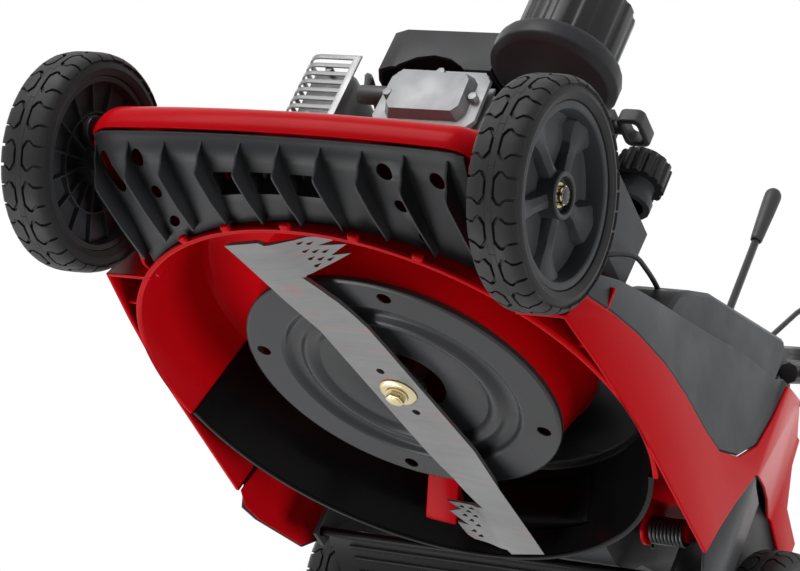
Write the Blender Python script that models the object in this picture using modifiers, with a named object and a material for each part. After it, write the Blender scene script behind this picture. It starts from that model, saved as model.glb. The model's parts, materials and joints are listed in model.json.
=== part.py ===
"""Walk-behind petrol lawn mower with a rear discharge, built from separate pieces.

Metres, +Z up, ground at z = 0. The mower drives towards -Y and +X is the operator's left.
Pieces are drawn about the blade's axis and hang on an empty that centres the whole mower.
"""

import math

import bmesh
import bpy
from mathutils import Matrix, Vector

# Clearances
GAP = 0.0003
RUNNING = 0.0006

# Widths across the mower
NOSE_HALF_WIDTH = 0.192
FRAME_X = NOSE_HALF_WIDTH + 0.0047
FRAME_WALL = 0.004
FRONT_ARM_X = NOSE_HALF_WIDTH + 0.0065
REAR_ARM_X = FRAME_X + FRAME_WALL + 0.0005
WHEEL_OUTER_FACE = NOSE_HALF_WIDTH + 0.069

# Wheels and their height arms
WHEEL_RADIUS = 0.1016
TYRE_WIDTH = 0.050
TYRE_BAND = 0.0175
RIM_RADIUS = 0.0795
FRONT_AXLE_Y = -0.270
REAR_AXLE_Y = 0.450
AXLE_RADIUS = 0.0060
HUB_RADIUS = 0.0200
HUB_RECESS_RADIUS = 0.0160
NUT_RADIUS = 0.0085
SPOKES = 5
SPOKE_WIDTH = 0.017
WEB_FACE = 0.013
WEB_BACK = -0.010
POCKET_DEPTH = 0.019
TYRE_STEPS = 30
RIM_STEPS = 22
ARM_LENGTH = 0.048
ARM_THICKNESS = 0.005
ARM_BOSS_RADIUS = 0.013
HEIGHT_LEVER_RISE = 0.092
HEIGHT_LEVER_LEAN = 0.040
HEIGHT_KNOB_RADIUS = 0.009

# Deck
SKIRT_HEIGHT = 0.0495
DECK_WALL = 0.004
CHAMBER_RADIUS = 0.254
CHAMBER_DRAFT = 0.027
CHAMBER_DEPTH = 0.095
MOUND_RADIUS = 0.152
MOUND_DRAFT = 0.016
MOUND_HEIGHT = 0.034
SHAFT_HOLE_RADIUS = 0.042
SHOULDER_HEIGHT = 0.0705
SHOULDER_LEDGE = 0.0098
CHAMBER_STEPS = 32
PLINTH_RADIUS = 0.092
PLINTH_WALL = 0.010
PLINTH_HEIGHT = 0.020
LINER_START = 16.0
LINER_END = 168.0
LINER_TOP = 0.088
LINER_WALL = 0.003
DOOR_START = 60.0
DOOR_END = 97.0
DOOR_BOTTOM = 0.028
DOOR_TOP = 0.080
DOOR_SILL_GAP = 0.0032
DOOR_LUGS = (-0.010, 0.092)
DOOR_HINGE_Y = CHAMBER_RADIUS - 0.009
DOOR_HINGE_HEIGHT = 0.082
KICKER_ANGLE = 102.0
KICKER_WIDTH = 0.033
KICKER_REACH = 0.040
NOSE_Y = -0.322
NOSE_HEIGHT = 0.050
NOSE_RADIUS = 0.025
NOSE_BULGE = 0.008
NOSE_ARC = (75.0, 205.0)
BAFFLE_WALL = 0.003
BAFFLE_FINS = 9
BAFFLE_HALF_WIDTH = NOSE_HALF_WIDTH - 0.012
FIN_WIDTH = 0.003
FIN_PITCH = 0.0396
FIN_MIDDLE = 0.009
FIN_DEPTHS = (0.001, 0.001, 0.014, 0.020, 0.011, 0.001)
FIN_PLACES = (0.0, 0.05, 0.18, 0.32, 0.65, 1.0)
WHEEL_BAY_GAP = 0.0104
COVER_WALL = 0.003
TUNNEL_LEFT = 0.138
TUNNEL_RIGHT = -0.040
TUNNEL_WALL = 0.003
PIVOT_BORE_GAP = 0.0006

# Blade and its drive
DISC_RADIUS = 0.158
DISC_HEIGHT = 0.0246
DISC_STEPS = 28
BLADE_TIP_GAP = 0.012
BLADE_WIDTH = 0.057
BLADE_THICKNESS = 0.004
BLADE_HEIGHT = 0.0165
BLADE_TURN = 78.1
BLADE_TWIST = 0.004
CUTTING_WIDTH = 0.0065
CUTTING_EDGE = 0.001
SAIL_THICKNESS = 0.0022
WASHER_RADIUS = 0.019
WASHER_THICKNESS = 0.003
BOLT_RADIUS = 0.0095
BOLT_HEAD = 0.008
CRANK_RADIUS = 0.0125
ADAPTER_RADIUS = 0.024
PULLEY_RADIUS = 0.027
PULLEY_HEIGHT = 0.111
BELT_WIDTH = 0.006
BELT_THICKNESS = 0.009
BELT_GROOVE = 0.0070
GEAR_PULLEY_RADIUS = 0.040
GEARBOX_X = 0.0467 - FRAME_X

# Engine
CRANKCASE_RADIUS = 0.088
CYLINDER_HEIGHT = 0.236
CYLINDER_X = 0.006
HEAD_FRONT_Y = -0.158
HEAD_WIDTH = 0.098
HEAD_HEIGHT = 0.074
FIN_COUNT = 7
COVER_FACE_Y = -0.174
SHROUD_FRONT_Y = -0.150
SHROUD_HALF_WIDTH = 0.070
SHROUD_TOP = 0.333
SHROUD_LIP = 0.286
SHROUD_RADIUS = 0.104
SHROUD_WALL = 0.003
RECOIL_TOP = 0.374
RECOIL_RADIUS = 0.092
FLYWHEEL_RADIUS = 0.084
FILTER_X = 0.112
FILTER_Y = -0.145
FILTER_BASE = 0.281
FILTER_RADIUS = 0.063
FILTER_COVER_RADIUS = 0.050
FILTER_COVER_HEIGHT = 0.078
FILTER_STEPS = 28
TANK_TOP = 0.238
CAP_X = 0.166
CAP_Y = -0.022
CAP_RADIUS = 0.0265
CAP_HEIGHT = 0.030
CAP_STEPS = 28
MUFFLER_X = -0.136
MUFFLER_FRONT_Y = -0.140
GUARD_SLOTS = 8

# Handle
HANDLE_ANGLE = 36.0
HANDLE_PIVOT_Y = 0.325
HANDLE_PIVOT_HEIGHT = 0.305
LOWER_LENGTH = 0.420
UPPER_LENGTH = 0.620
UPPER_CORNER = 0.060
HANDLE_TUBE = 0.0110
BAR_TUBE = 0.0040
BAIL_PIVOT = 0.400
BAIL_REST_ANGLE = 22.0
DRIVE_PIVOT = 0.360
DRIVE_REST_ANGLE = -20.0
CABLE_RADIUS = 0.0028

# Shield spring
SPRING_CURLS = 9
SPRING_CURL_POINTS = 8
SPRING_RADIUS = 0.0120
SPRING_WIRE = 0.0014
SPRING_PITCH = 0.0040
SPRING_X = FRAME_X - 0.0227
SPRING_Y = 0.240
SPRING_HEIGHT = 0.048
SPRING_WIRE_SIDES = 1

HANDLE_LEAN = math.radians(HANDLE_ANGLE)
FRONT_REACH = WHEEL_RADIUS - FRONT_AXLE_Y
HANDLE_REACH = (HANDLE_PIVOT_Y + (LOWER_LENGTH + UPPER_LENGTH) * math.cos(HANDLE_LEAN)
                + HANDLE_TUBE)
BLADE_Y = (FRONT_REACH - HANDLE_REACH) / 2
AXLE_HEIGHT = WHEEL_RADIUS * math.cos(math.pi / TYRE_STEPS)
AXLE_RISE = AXLE_HEIGHT - SKIRT_HEIGHT
WHEEL_X = WHEEL_OUTER_FACE - TYRE_WIDTH / 2
BLADE_LENGTH = 2 * (CHAMBER_RADIUS - BLADE_TIP_GAP)

# How the blade is pressed, by the place from its tip towards the hub
BLADE_DROPS = ((-0.147, 0.0), (-0.122, 0.0035), (-0.092, 0.0076), (-0.054, 0.0115), (-0.024, 0.0146),
               (0.0, 0.0177))
TWIST_PLACES = ((-0.147, 0.0), (-0.107, 1.0), (-0.042, 1.0), (0.0, 0.0))
SAIL_FOLD = ((-0.062, 0.011), (-0.007, 0.0136))
SAIL_SLOPES = ((-0.055, 0.30), (-0.007, 0.217))
SAIL_BEND = 0.018
CUTTING_START = -0.100
BLADE_HOLE_PLACE = 0.032

# Outer face of the deck's sides and its covers, from front to back
FLANK_FLARE = ((-0.171, CHAMBER_RADIUS - 0.015), (-0.100, CHAMBER_RADIUS - 0.005),
               (-0.007, CHAMBER_RADIUS + 0.0045), (0.235, CHAMBER_RADIUS + 0.008),
               (0.408, FRAME_X + 0.0083), (0.490, FRAME_X + 0.0083))
FLANK_SLICES = [place for place, reach in FLANK_FLARE[1:-1]]
FLANK_TOP = ((-0.155, 0.035), (-0.110, 0.050), (-0.065, 0.062), (-0.010, 0.071), (0.045, 0.0775),
             (0.105, 0.080), (0.145, 0.085), (0.185, 0.107), (0.212, 0.139), (0.2225, 0.179),
             (0.229, 0.223))
TOWER = ((0.330, 0.277), (0.416, 0.284), (0.420, 0.254), (0.443, 0.216), (0.490, 0.203),
         (0.490, 0.166), (0.451, 0.172), (0.417, 0.182), (0.359, 0.171), (0.309, 0.154),
         (0.250, 0.128))
ARCH = ((0.232, 0.119), (0.210, 0.068), (0.198, 0.032), (0.190, 0.0))
CREST = ((-0.150, 0.062, -0.014), (-0.106, 0.089, -0.016), (-0.067, 0.108, -0.016),
         (-0.025, 0.127, -0.016), (0.030, 0.150, -0.014), (0.085, 0.172, -0.009),
         (0.130, 0.191, -0.004), (0.165, 0.203, -0.002), (0.195, 0.212, 0.0),
         (0.212, 0.218, 0.001), (0.2255, 0.2285, 0.002))
COVER_INNER_X = CHAMBER_RADIUS - 0.089
COVER_INNER_HEIGHT = 0.1045

# Discharge tunnel
TUNNEL_OUTER = ((0.200, 0.095), (0.200, 0.1035), (0.490, 0.183), (0.490, 0.085), (0.346, 0.063),
                (0.3145, 0.050), (0.291, 0.0252), (0.262, 0.017), (0.200, 0.017))
TUNNEL_INNER = ((0.150, 0.020), (0.261, 0.020), (0.289, 0.0278), (0.312, 0.0525), (0.345, 0.0662),
                (0.500, 0.0895), (0.500, 0.1825), (0.200, 0.1003), (0.150, 0.090))

# Rear frame, rear door and trail shield
CROSS_BAR_Y = 0.474
CROSS_BAR_HEIGHT = 0.200
CROSS_BAR_RADIUS = 0.008
REAR_DOOR_Y = 0.4905 + GAP
REAR_DOOR_WALL = 0.004
REAR_HINGE_RADIUS = 0.005
SHIELD_LINE = ((0.268, 0.012), (0.300, 0.006), (0.335, -0.005), (0.365, -0.021), (0.374, -0.029))
SHIELD_WALL = 0.004
SHIELD_BARREL = 0.005

# Lever console
CONSOLE_X = (0.172, 0.232)
CONSOLE_LINE = ((0.006, 0.100), (0.008, 0.150), (0.013, 0.168), (0.033, 0.186), (0.071, 0.212),
                (0.248, 0.292), (0.258, 0.286), (0.262, 0.270), (0.262, 0.245), (0.228, 0.228),
                (0.228, 0.100))
CONSOLE_INSIDE = ((0.009, 0.090), (0.011, 0.149), (0.0155, 0.166), (0.0348, 0.183), (0.0725, 0.209),
                  (0.247, 0.288), (0.255, 0.283), (0.259, 0.247), (0.225, 0.2295), (0.225, 0.090))
LEVER_PIN = 0.0030
LEVER_X = 0.205
LEVER_Y = 0.166
LEVER_PIVOT_HEIGHT = 0.207
LEVER_SLOT = 0.012
LEVER_ROD = 0.004
LEVER_GRIP_START = 0.350
LEVER_GRIP_END = 0.416

# Pins, shafts and bores
FRONT_PIN_RADIUS = 0.0055
REAR_SHAFT_RADIUS = 0.0065
BLADE_BORE = 0.0055

# Gearbox
GEARBOX_HALF = 0.021
GEARBOX_TOP = 0.094

# Crankcase and dipstick
PLINTH_TOP = CHAMBER_DEPTH + DECK_WALL + PLINTH_HEIGHT
CASE_TOP = 0.272
LUG_ANGLES = (15.0, 150.0, 215.0)
LUG_REACH = 0.0945
LUG_RADIUS = 0.0090
DIPSTICK_X = -0.083
DIPSTICK_Y = 0.083
DIPSTICK_TOP = 0.215

# Valve cover
COVER_LINE = ((-0.045, 0.214), (-0.037, 0.204), (0.056, 0.204), (0.064, 0.214), (0.062, 0.262),
              (0.054, 0.272), (-0.035, 0.272), (-0.043, 0.262))
COVER_BOLTS = ((-0.036, 0.238), (0.055, 0.238), (0.010, 0.2655))

# Starter grip
GRIP_Z = 0.350
GUIDE_X = 0.1040

# Muffler
MUFFLER_BOX = ((-0.160, -0.128, 0.224), (-0.112, -0.040, 0.298))
EXHAUST_Y = -0.112

# Carburettor
CARB_BOX = ((0.0555, -0.134, 0.222), (0.100, -0.098, 0.2805))

# Fuel tank
TANK_LINE = ((0.108, 0.150), (0.176, 0.150), (0.182, 0.158), (0.184, 0.222), (0.172, 0.238),
             (0.116, 0.238), (0.108, 0.230))
TANK_Y = (-0.097, 0.005)
NECK_TOP = 0.262

# Control cable
CABLE_ROUTE = ((0.1865, -0.060, 0.150), (0.196, -0.050, 0.160), (0.203, -0.036, 0.168),
               (0.205, -0.010, 0.172), (0.203, 0.015, 0.177), (0.200, 0.036, 0.180), (0.198, 0.050, 0.176))

# Handle bars
LOWER_X = FRAME_X + 0.0193
UPPER_X = LOWER_X - 2 * HANDLE_TUBE - 0.0005
FOLD_REACH = LOWER_LENGTH - 0.020
HANDLE_END = LOWER_LENGTH + UPPER_LENGTH
BOLT_SHANK = 0.0032
BAIL_REACH = LOWER_LENGTH + BAIL_PIVOT
DRIVE_REACH = LOWER_LENGTH + DRIVE_PIVOT
BAIL_X = UPPER_X - 0.0185
DRIVE_X = UPPER_X - 0.0305
BAR_END = UPPER_X - 0.0045
KNOB_LOBES = 5

PLANES = {
    "XY": Matrix.Identity(4),
    "YZ": Matrix(((0, 0, 1, 0), (1, 0, 0, 0), (0, 1, 0, 0), (0, 0, 0, 1))),
    "XZ": Matrix(((1, 0, 0, 0), (0, 0, 1, 0), (0, 1, 0, 0), (0, 0, 0, 1))),
}


def clear_scene():
    for item in list(bpy.data.objects):
        bpy.data.objects.remove(item, do_unlink=True)


def new_collection(name):
    group = bpy.data.collections.new(name)
    bpy.context.scene.collection.children.link(group)
    return group


clear_scene()
MOWER = new_collection("petrol_lawn_mower")
CUTTERS = new_collection("cutters")


def new_empty(name, place, parent=None):
    marker = bpy.data.objects.new(name, None)
    marker.empty_display_size = 0.03
    marker.location = place
    marker.parent = parent
    MOWER.objects.link(marker)
    return marker


ROOT = new_empty("blade_axis", (0, BLADE_Y, 0))


def pivot(name, place):
    return new_empty(name, place, ROOT)


def material(name, colour, roughness, metallic=0.0):
    look = bpy.data.materials.new(name)
    look.use_nodes = True
    shader = look.node_tree.nodes["Principled BSDF"]
    shader.inputs["Base Color"].default_value = (*colour, 1.0)
    shader.inputs["Roughness"].default_value = roughness
    shader.inputs["Metallic"].default_value = metallic
    return look


RED_PAINT = material("red_paint", (0.60, 0.010, 0.014), 0.25)
BLACK_PLASTIC = material("black_plastic", (0.045, 0.045, 0.050), 0.50)
GLOSS_PLASTIC = material("gloss_plastic", (0.010, 0.010, 0.012), 0.15)
GREY_PLASTIC = material("grey_plastic", (0.075, 0.075, 0.082), 0.45)
TYRE_RUBBER = material("tyre_rubber", (0.040, 0.040, 0.042), 0.75)
BLACK_PAINT = material("black_paint", (0.020, 0.021, 0.023), 0.30)
BLADE_STEEL = material("blade_steel", (0.42, 0.41, 0.40), 0.38, 0.9)
ZINC = material("zinc", (0.72, 0.66, 0.50), 0.32, 1.0)
CAST_METAL = material("cast_metal", (0.60, 0.60, 0.61), 0.42, 0.8)
GUARD_METAL = material("guard_metal", (0.75, 0.75, 0.75), 0.35, 0.7)
BRIGHT_STEEL = material("bright_steel", (0.62, 0.62, 0.62), 0.25, 1.0)
SOFT_RUBBER = material("soft_rubber", (0.030, 0.030, 0.032), 0.65)


def high(rise):
    """Height above ground of a level given above the deck's lower rim."""
    return SKIRT_HEIGHT + rise


def arc(centre, radius, start, end, count):
    """Points on an arc of a plane, angles in degrees from the first axis."""
    step = (end - start) / (count - 1)
    angles = [math.radians(start + step * i) for i in range(count)]
    return [(centre[0] + radius * math.cos(a), centre[1] + radius * math.sin(a)) for a in angles]


def sector(inner, outer, start, end, count):
    return arc((0, 0), outer, start, end, count) + arc((0, 0), inner, end, start, count)


def between(low, high_value, share):
    return low + (high_value - low) * share


def lookup(points, at):
    """Value at one place of a line given by (place, value) points."""
    if at <= points[0][0]:
        return points[0][1]
    for (x0, y0), (x1, y1) in zip(points, points[1:]):
        if at <= x1:
            return between(y0, y1, (at - x0) / (x1 - x0))
    return points[-1][1]


def raised(outline):
    return [(u, high(v)) for u, v in outline]


def take_mesh(guide):
    """Evaluated mesh of a guide object, which is then removed."""
    graph = bpy.context.evaluated_depsgraph_get()
    mesh = bpy.data.meshes.new_from_object(guide.evaluated_get(graph))
    bm = bmesh.new()
    bm.from_mesh(mesh)
    bpy.data.meshes.remove(mesh)
    bpy.data.objects.remove(guide, do_unlink=True)
    bmesh.ops.remove_doubles(bm, verts=bm.verts, dist=0.00001)
    return bm


def flat(loops, low, top, plane="XY"):
    """Solid between two levels of a plane's normal, from an outline and its holes."""
    curve = bpy.data.curves.new("outline", "CURVE")
    curve.dimensions = "2D"
    curve.fill_mode = "BOTH"
    curve.extrude = (top - low) / 2
    for loop in loops:
        spline = curve.splines.new("POLY")
        spline.points.add(len(loop) - 1)
        for point, (u, v) in zip(spline.points, loop):
            point.co = (u, v, 0, 1)
        spline.use_cyclic_u = True
    guide = bpy.data.objects.new("outline", curve)
    CUTTERS.objects.link(guide)
    bm = take_mesh(guide)
    bpy.data.curves.remove(curve)
    shift = PLANES[plane] @ Matrix.Translation((0, 0, (low + top) / 2))
    bmesh.ops.transform(bm, matrix=shift, verts=bm.verts)
    bmesh.ops.recalc_face_normals(bm, faces=bm.faces)
    return bm


def turned(profile, steps, axis="Z", centre=(0, 0, 0), closed=True, twist=0.0):
    """Profile of (radius, height) points turned about an axis through a centre."""
    mesh = bpy.data.meshes.new("profile")
    count = len(profile)
    edges = [(i, i + 1) for i in range(count - 1)]
    if closed:
        edges.append((count - 1, 0))
    mesh.from_pydata([(r, 0, h) for r, h in profile], edges, [])
    guide = bpy.data.objects.new("profile", mesh)
    CUTTERS.objects.link(guide)
    screw = guide.modifiers.new("turn", "SCREW")
    screw.steps = steps
    screw.render_steps = steps
    screw.use_merge_vertices = True
    screw.merge_threshold = 0.00001
    bm = take_mesh(guide)
    bpy.data.meshes.remove(mesh)
    bmesh.ops.rotate(bm, verts=bm.verts, matrix=Matrix.Rotation(math.radians(twist), 3, "Z"))
    if axis == "X":
        bmesh.ops.rotate(bm, verts=bm.verts, matrix=Matrix.Rotation(math.radians(90), 3, "Y"))
    if axis == "Y":
        bmesh.ops.rotate(bm, verts=bm.verts, matrix=Matrix.Rotation(math.radians(-90), 3, "X"))
    bmesh.ops.translate(bm, verts=bm.verts, vec=centre)
    bmesh.ops.recalc_face_normals(bm, faces=bm.faces)
    return bm


def rod(radius, low, top, axis, centre, steps=16, twist=0.0):
    """Round bar between two levels of its axis."""
    return turned([(0, top), (radius, top), (radius, low), (0, low)], steps, axis, centre, False, twist)


def band(profile, start, end, steps):
    """Closed profile of (radius, height) points swept about Z between two angles."""
    bm = bmesh.new()
    verts = [bm.verts.new((r, 0, h)) for r, h in profile]
    edges = [bm.edges.new((verts[i - 1], verts[i])) for i in range(len(verts))]
    turn = Matrix.Rotation(math.radians(start), 3, "Z")
    bmesh.ops.rotate(bm, verts=verts, matrix=turn)
    bmesh.ops.spin(bm, geom=verts + edges, cent=(0, 0, 0), axis=(0, 0, 1),
                   angle=math.radians(end - start), steps=steps, use_merge=False)
    bmesh.ops.holes_fill(bm, edges=[e for e in bm.edges if e.is_boundary], sides=0)
    bmesh.ops.recalc_face_normals(bm, faces=bm.faces)
    return bm


def box(low, top):
    """Block between two corners."""
    bm = bmesh.new()
    bmesh.ops.create_cube(bm, size=1.0)
    size = Vector(top) - Vector(low)
    bmesh.ops.scale(bm, verts=bm.verts, vec=size)
    bmesh.ops.translate(bm, verts=bm.verts, vec=Vector(low) + size / 2)
    return bm


def bevelled(bm, width, segments=1, angle=40.0):
    """Rounds a mesh's sharp edges."""
    sharp = [e for e in bm.edges if e.is_manifold and e.calc_face_angle(0) > math.radians(angle)]
    bmesh.ops.bevel(bm, geom=sharp, offset=width, segments=segments, profile=0.5, affect="EDGES",
                    clamp_overlap=True, material=-1)
    return bm


def strip(rows, thickness, toward):
    """Shell over rows of points, thickened towards a direction."""
    bm = bmesh.new()
    grid = [[bm.verts.new(point) for point in row] for row in rows]
    for lower, upper in zip(grid, grid[1:]):
        for i in range(len(lower) - 1):
            bm.faces.new((lower[i], lower[i + 1], upper[i + 1], upper[i]))
    shell = bmesh.ops.extrude_face_region(bm, geom=bm.faces[:])
    moved = [v for v in shell["geom"] if isinstance(v, bmesh.types.BMVert)]
    bmesh.ops.translate(bm, verts=moved, vec=Vector(toward) * thickness)
    bmesh.ops.recalc_face_normals(bm, faces=bm.faces)
    return bm


def sliced(bm, places, shift):
    """Cuts a mesh across Y and moves each point sideways by a function of its y."""
    for place in places:
        bmesh.ops.bisect_plane(bm, geom=bm.verts[:] + bm.edges[:] + bm.faces[:],
                               plane_co=(0, place, 0), plane_no=(0, 1, 0))
    for vert in bm.verts:
        vert.co.x += shift(vert.co.y)
    return bm


def mirrored(bm):
    """The same mesh on the other side of the mower."""
    bmesh.ops.scale(bm, verts=bm.verts, vec=(-1, 1, 1))
    bmesh.ops.reverse_faces(bm, faces=bm.faces)
    return bm


def sided(bm, side):
    return bm if side > 0 else mirrored(bm)


def mesh_object(name, bm, group):
    bmesh.ops.remove_doubles(bm, verts=bm.verts, dist=0.000005)
    mesh = bpy.data.meshes.new(name)
    bm.to_mesh(mesh)
    bm.free()
    item = bpy.data.objects.new(name, mesh)
    group.objects.link(item)
    item.parent = ROOT
    return item


def piece(name, bm, look, axis=None, sharp=35.0):
    """One sub-part; a moving one hangs on the empty at its joint."""
    item = mesh_object(name, bm, MOWER)
    item.data.materials.append(look)
    item.data.shade_smooth()
    item.data.set_sharp_from_angle(angle=math.radians(sharp))
    if axis is not None:
        item.data.transform(Matrix.Translation(-Vector(axis.location)))
        item.parent = axis
    return item


def tool(body, bm, operation):
    """Joins a shape to a sub-part or cuts it out."""
    helper = mesh_object(body.name + "_tool", bm, CUTTERS)
    helper.hide_render = True
    helper.display_type = "WIRE"
    change = body.modifiers.new(operation.lower(), "BOOLEAN")
    change.operation = operation
    change.solver = "EXACT"
    change.object = helper


def join(body, *shapes):
    for bm in shapes:
        tool(body, bm, "UNION")


def cut(body, *shapes):
    for bm in shapes:
        tool(body, bm, "DIFFERENCE")


def smooth_route(points, count):
    """Points of a smooth curve through the route's own points."""
    ends = [points[0] * 2 - points[1]] + points + [points[-1] * 2 - points[-2]]
    route = []
    for i in range(len(points) - 1):
        p0, p1, p2, p3 = ends[i:i + 4]
        for k in range(count):
            t = k / count
            route.append(0.5 * (2 * p1 + (p2 - p0) * t + (2 * p0 - 5 * p1 + 4 * p2 - p3) * t * t
                                + (3 * p1 - p0 - 3 * p2 + p3) * t ** 3))
    return route + [points[-1]]


def tube_curve(name, points, radius, sides):
    curve = bpy.data.curves.new(name, "CURVE")
    curve.dimensions = "3D"
    curve.bevel_depth = radius
    curve.bevel_resolution = sides
    curve.use_fill_caps = True
    spline = curve.splines.new("POLY")
    spline.points.add(len(points) - 1)
    for point, place in zip(spline.points, points):
        point.co = (*place, 1)
    return curve


def tube(name, points, radius, look, axis=None, sides=2):
    """A bar, wire or cable left as a curve."""
    curve = tube_curve(name, points, radius, sides)
    item = bpy.data.objects.new(name, curve)
    MOWER.objects.link(item)
    curve.materials.append(look)
    item.parent = ROOT
    if axis is not None:
        curve.transform(Matrix.Translation(-Vector(axis.location)))
        item.parent = axis
    return item


def tube_shape(points, radius, sides=2):
    guide = bpy.data.objects.new("tube", tube_curve("tube", points, radius, sides))
    CUTTERS.objects.link(guide)
    bm = take_mesh(guide)
    bmesh.ops.recalc_face_normals(bm, faces=bm.faces)
    return bm


def flank_x(y):
    return lookup(FLANK_FLARE, y)


def chamber_radius(rise):
    """Inner radius of the chamber's wall at a level above the rim."""
    return CHAMBER_RADIUS - CHAMBER_DRAFT * rise / CHAMBER_DEPTH


def chamber_cup():
    top = CHAMBER_DEPTH + DECK_WALL
    return turned(raised([
        (chamber_radius(top) + DECK_WALL, top),
        (CHAMBER_RADIUS + DECK_WALL, 0),
        (CHAMBER_RADIUS, 0),
        (chamber_radius(CHAMBER_DEPTH), CHAMBER_DEPTH),
        (MOUND_RADIUS + MOUND_DRAFT, CHAMBER_DEPTH),
        (MOUND_RADIUS, MOUND_HEIGHT),
        (MOUND_RADIUS - 3 * DECK_WALL, MOUND_HEIGHT),
        (MOUND_RADIUS, CHAMBER_DEPTH),
        (SHAFT_HOLE_RADIUS, CHAMBER_DEPTH),
        (SHAFT_HOLE_RADIUS, top),
    ]), CHAMBER_STEPS)


def shoulder_outline():
    """Plate round the chamber, open at the back where the tunnel leaves."""
    bore = chamber_radius(SHOULDER_HEIGHT) + DECK_WALL / 2
    ledge = bore + SHOULDER_LEDGE
    notch = TUNNEL_LEFT + 0.001
    rear = CHAMBER_RADIUS - 0.024
    side = [(NOSE_HALF_WIDTH - DECK_WALL / 2, NOSE_Y), (NOSE_HALF_WIDTH - DECK_WALL / 2, -0.150)]
    side += [(math.sqrt(ledge ** 2 - y ** 2), y) for y in (-0.135, -0.105, -0.070, -0.030)]
    side += [(flank_x(y) - 0.0035, y) for y in (0.030, 0.110, 0.184)]
    side += [(rear, 0.198), (rear, 0.290), (notch, 0.290)]
    reach = math.degrees(math.acos(notch / bore))
    inner = arc((0, 0), bore, 180 - reach, 360 + reach, CHAMBER_STEPS - 5)
    return side + list(reversed(inner)) + [(-x, y) for x, y in reversed(side)]


def nose_y(x):
    """How far the front lip stands back from its middle at a place across the mower."""
    share = abs(x) / NOSE_HALF_WIDTH
    corner = max(0.0, share - 0.88) / 0.12
    return NOSE_BULGE * share ** 2 + 0.010 * corner ** 2


def nose_lip():
    start, end = NOSE_ARC
    section = arc((NOSE_Y, high(NOSE_HEIGHT)), NOSE_RADIUS, start, end, 7)
    section += arc((NOSE_Y, high(NOSE_HEIGHT)), NOSE_RADIUS - DECK_WALL, end, start, 7)
    bm = flat([section], -NOSE_HALF_WIDTH, NOSE_HALF_WIDTH, "YZ")
    for share in (-0.95, -0.88, -0.55, 0.0, 0.55, 0.88, 0.95):
        bmesh.ops.bisect_plane(bm, geom=bm.verts[:] + bm.edges[:] + bm.faces[:],
                               plane_co=(share * NOSE_HALF_WIDTH, 0, 0), plane_no=(1, 0, 0))
    for vert in bm.verts:
        vert.co.y += nose_y(vert.co.x)
    return bm


def nose_side(side):
    outline = [(NOSE_Y + 0.004, 0.034), (NOSE_Y + 0.004, SHOULDER_HEIGHT + DECK_WALL / 2),
               (-0.158, SHOULDER_HEIGHT + DECK_WALL / 2), (-0.158, 0.010), (-0.184, 0.004)]
    bm = flat([raised(outline)], NOSE_HALF_WIDTH - DECK_WALL, NOSE_HALF_WIDTH, "YZ")
    return sided(bm, side)


def wheel_arch(side):
    """Curved wall behind a front wheel, round the same centre as the wheel."""
    near = WHEEL_RADIUS + WHEEL_BAY_GAP
    low = -math.degrees(math.asin(AXLE_RISE / near))
    centre = (FRONT_AXLE_Y, AXLE_HEIGHT)
    outline = arc(centre, near, low, 10.0, 7) + arc(centre, near + DECK_WALL, 10.0, low + 1, 7)
    bm = flat([outline], NOSE_HALF_WIDTH - DECK_WALL / 2, flank_x(-0.165) - DECK_WALL / 2, "YZ")
    return sided(bm, side)


def flank(side):
    near = WHEEL_RADIUS + WHEEL_BAY_GAP
    low = -math.degrees(math.asin(AXLE_RISE / near))
    front = arc((FRONT_AXLE_Y, AXLE_RISE), near, low, low + 20, 4)
    outline = front + list(FLANK_TOP) + list(TOWER) + list(ARCH)
    bm = flat([raised(outline)], -DECK_WALL, 0, "YZ")
    return sided(sliced(bm, FLANK_SLICES, flank_x), side)


def kicker():
    """Block on the chamber's rear wall that throws grass back to the blade."""
    top = 0.052
    inner = [(chamber_radius(0.024) - LINER_WALL / 2, 0.024), (chamber_radius(top) - LINER_WALL / 2, top),
             (chamber_radius(top) - KICKER_REACH, top - 0.001), (chamber_radius(0.024) - 0.007, 0.026)]
    bm = flat([raised(inner)], -KICKER_WIDTH / 2, KICKER_WIDTH / 2, "XZ")
    bmesh.ops.rotate(bm, verts=bm.verts, matrix=Matrix.Rotation(math.radians(KICKER_ANGLE), 3, "Z"))
    return bm


def spring_bracket():
    """Hanger under the deck with the pin that carries the shield's spring."""
    y = SPRING_Y
    outline = [(y - 0.022, 0.0725), (y + 0.022, 0.0725), (y + 0.013, 0.038), (y + 0.005, 0.033),
               (y - 0.005, 0.033), (y - 0.013, 0.038)]
    hanger = flat([raised(outline)], SPRING_X - 0.007, SPRING_X - 0.003, "YZ")
    radius = SPRING_RADIUS - 2 * SPRING_WIRE - GAP
    end = SPRING_X + SPRING_CURLS * SPRING_PITCH + 0.003
    return [hanger, rod(radius, SPRING_X - 0.005, end, "X", (0, y, high(SPRING_HEIGHT)), 12)]


def make_deck_shell():
    body = piece("deck_shell", chamber_cup(), RED_PAINT)
    cut(body, flat([sector(CHAMBER_RADIUS - 0.059, CHAMBER_RADIUS + 0.046, LINER_START, LINER_END, 30)],
                   high(-0.010), high(LINER_TOP)))
    join(body, flat([shoulder_outline()], high(SHOULDER_HEIGHT), high(SHOULDER_HEIGHT + DECK_WALL)))
    join(body, nose_lip())
    for side in (1, -1):
        join(body, nose_side(side), wheel_arch(side), flank(side))
    join(body, *spring_bracket())
    join(body, *front_pins())
    top = CHAMBER_DEPTH + DECK_WALL
    ring = PLINTH_RADIUS - PLINTH_WALL
    join(body, turned(raised([(PLINTH_RADIUS, top + PLINTH_HEIGHT), (PLINTH_RADIUS, top - 0.001),
                              (ring, top - 0.001), (ring, top + PLINTH_HEIGHT)]), 20))
    cut(body, box((-0.085, 0, high(top + GAP)), (0.030, 0.100, high(top + PLINTH_HEIGHT + 0.010))))


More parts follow.
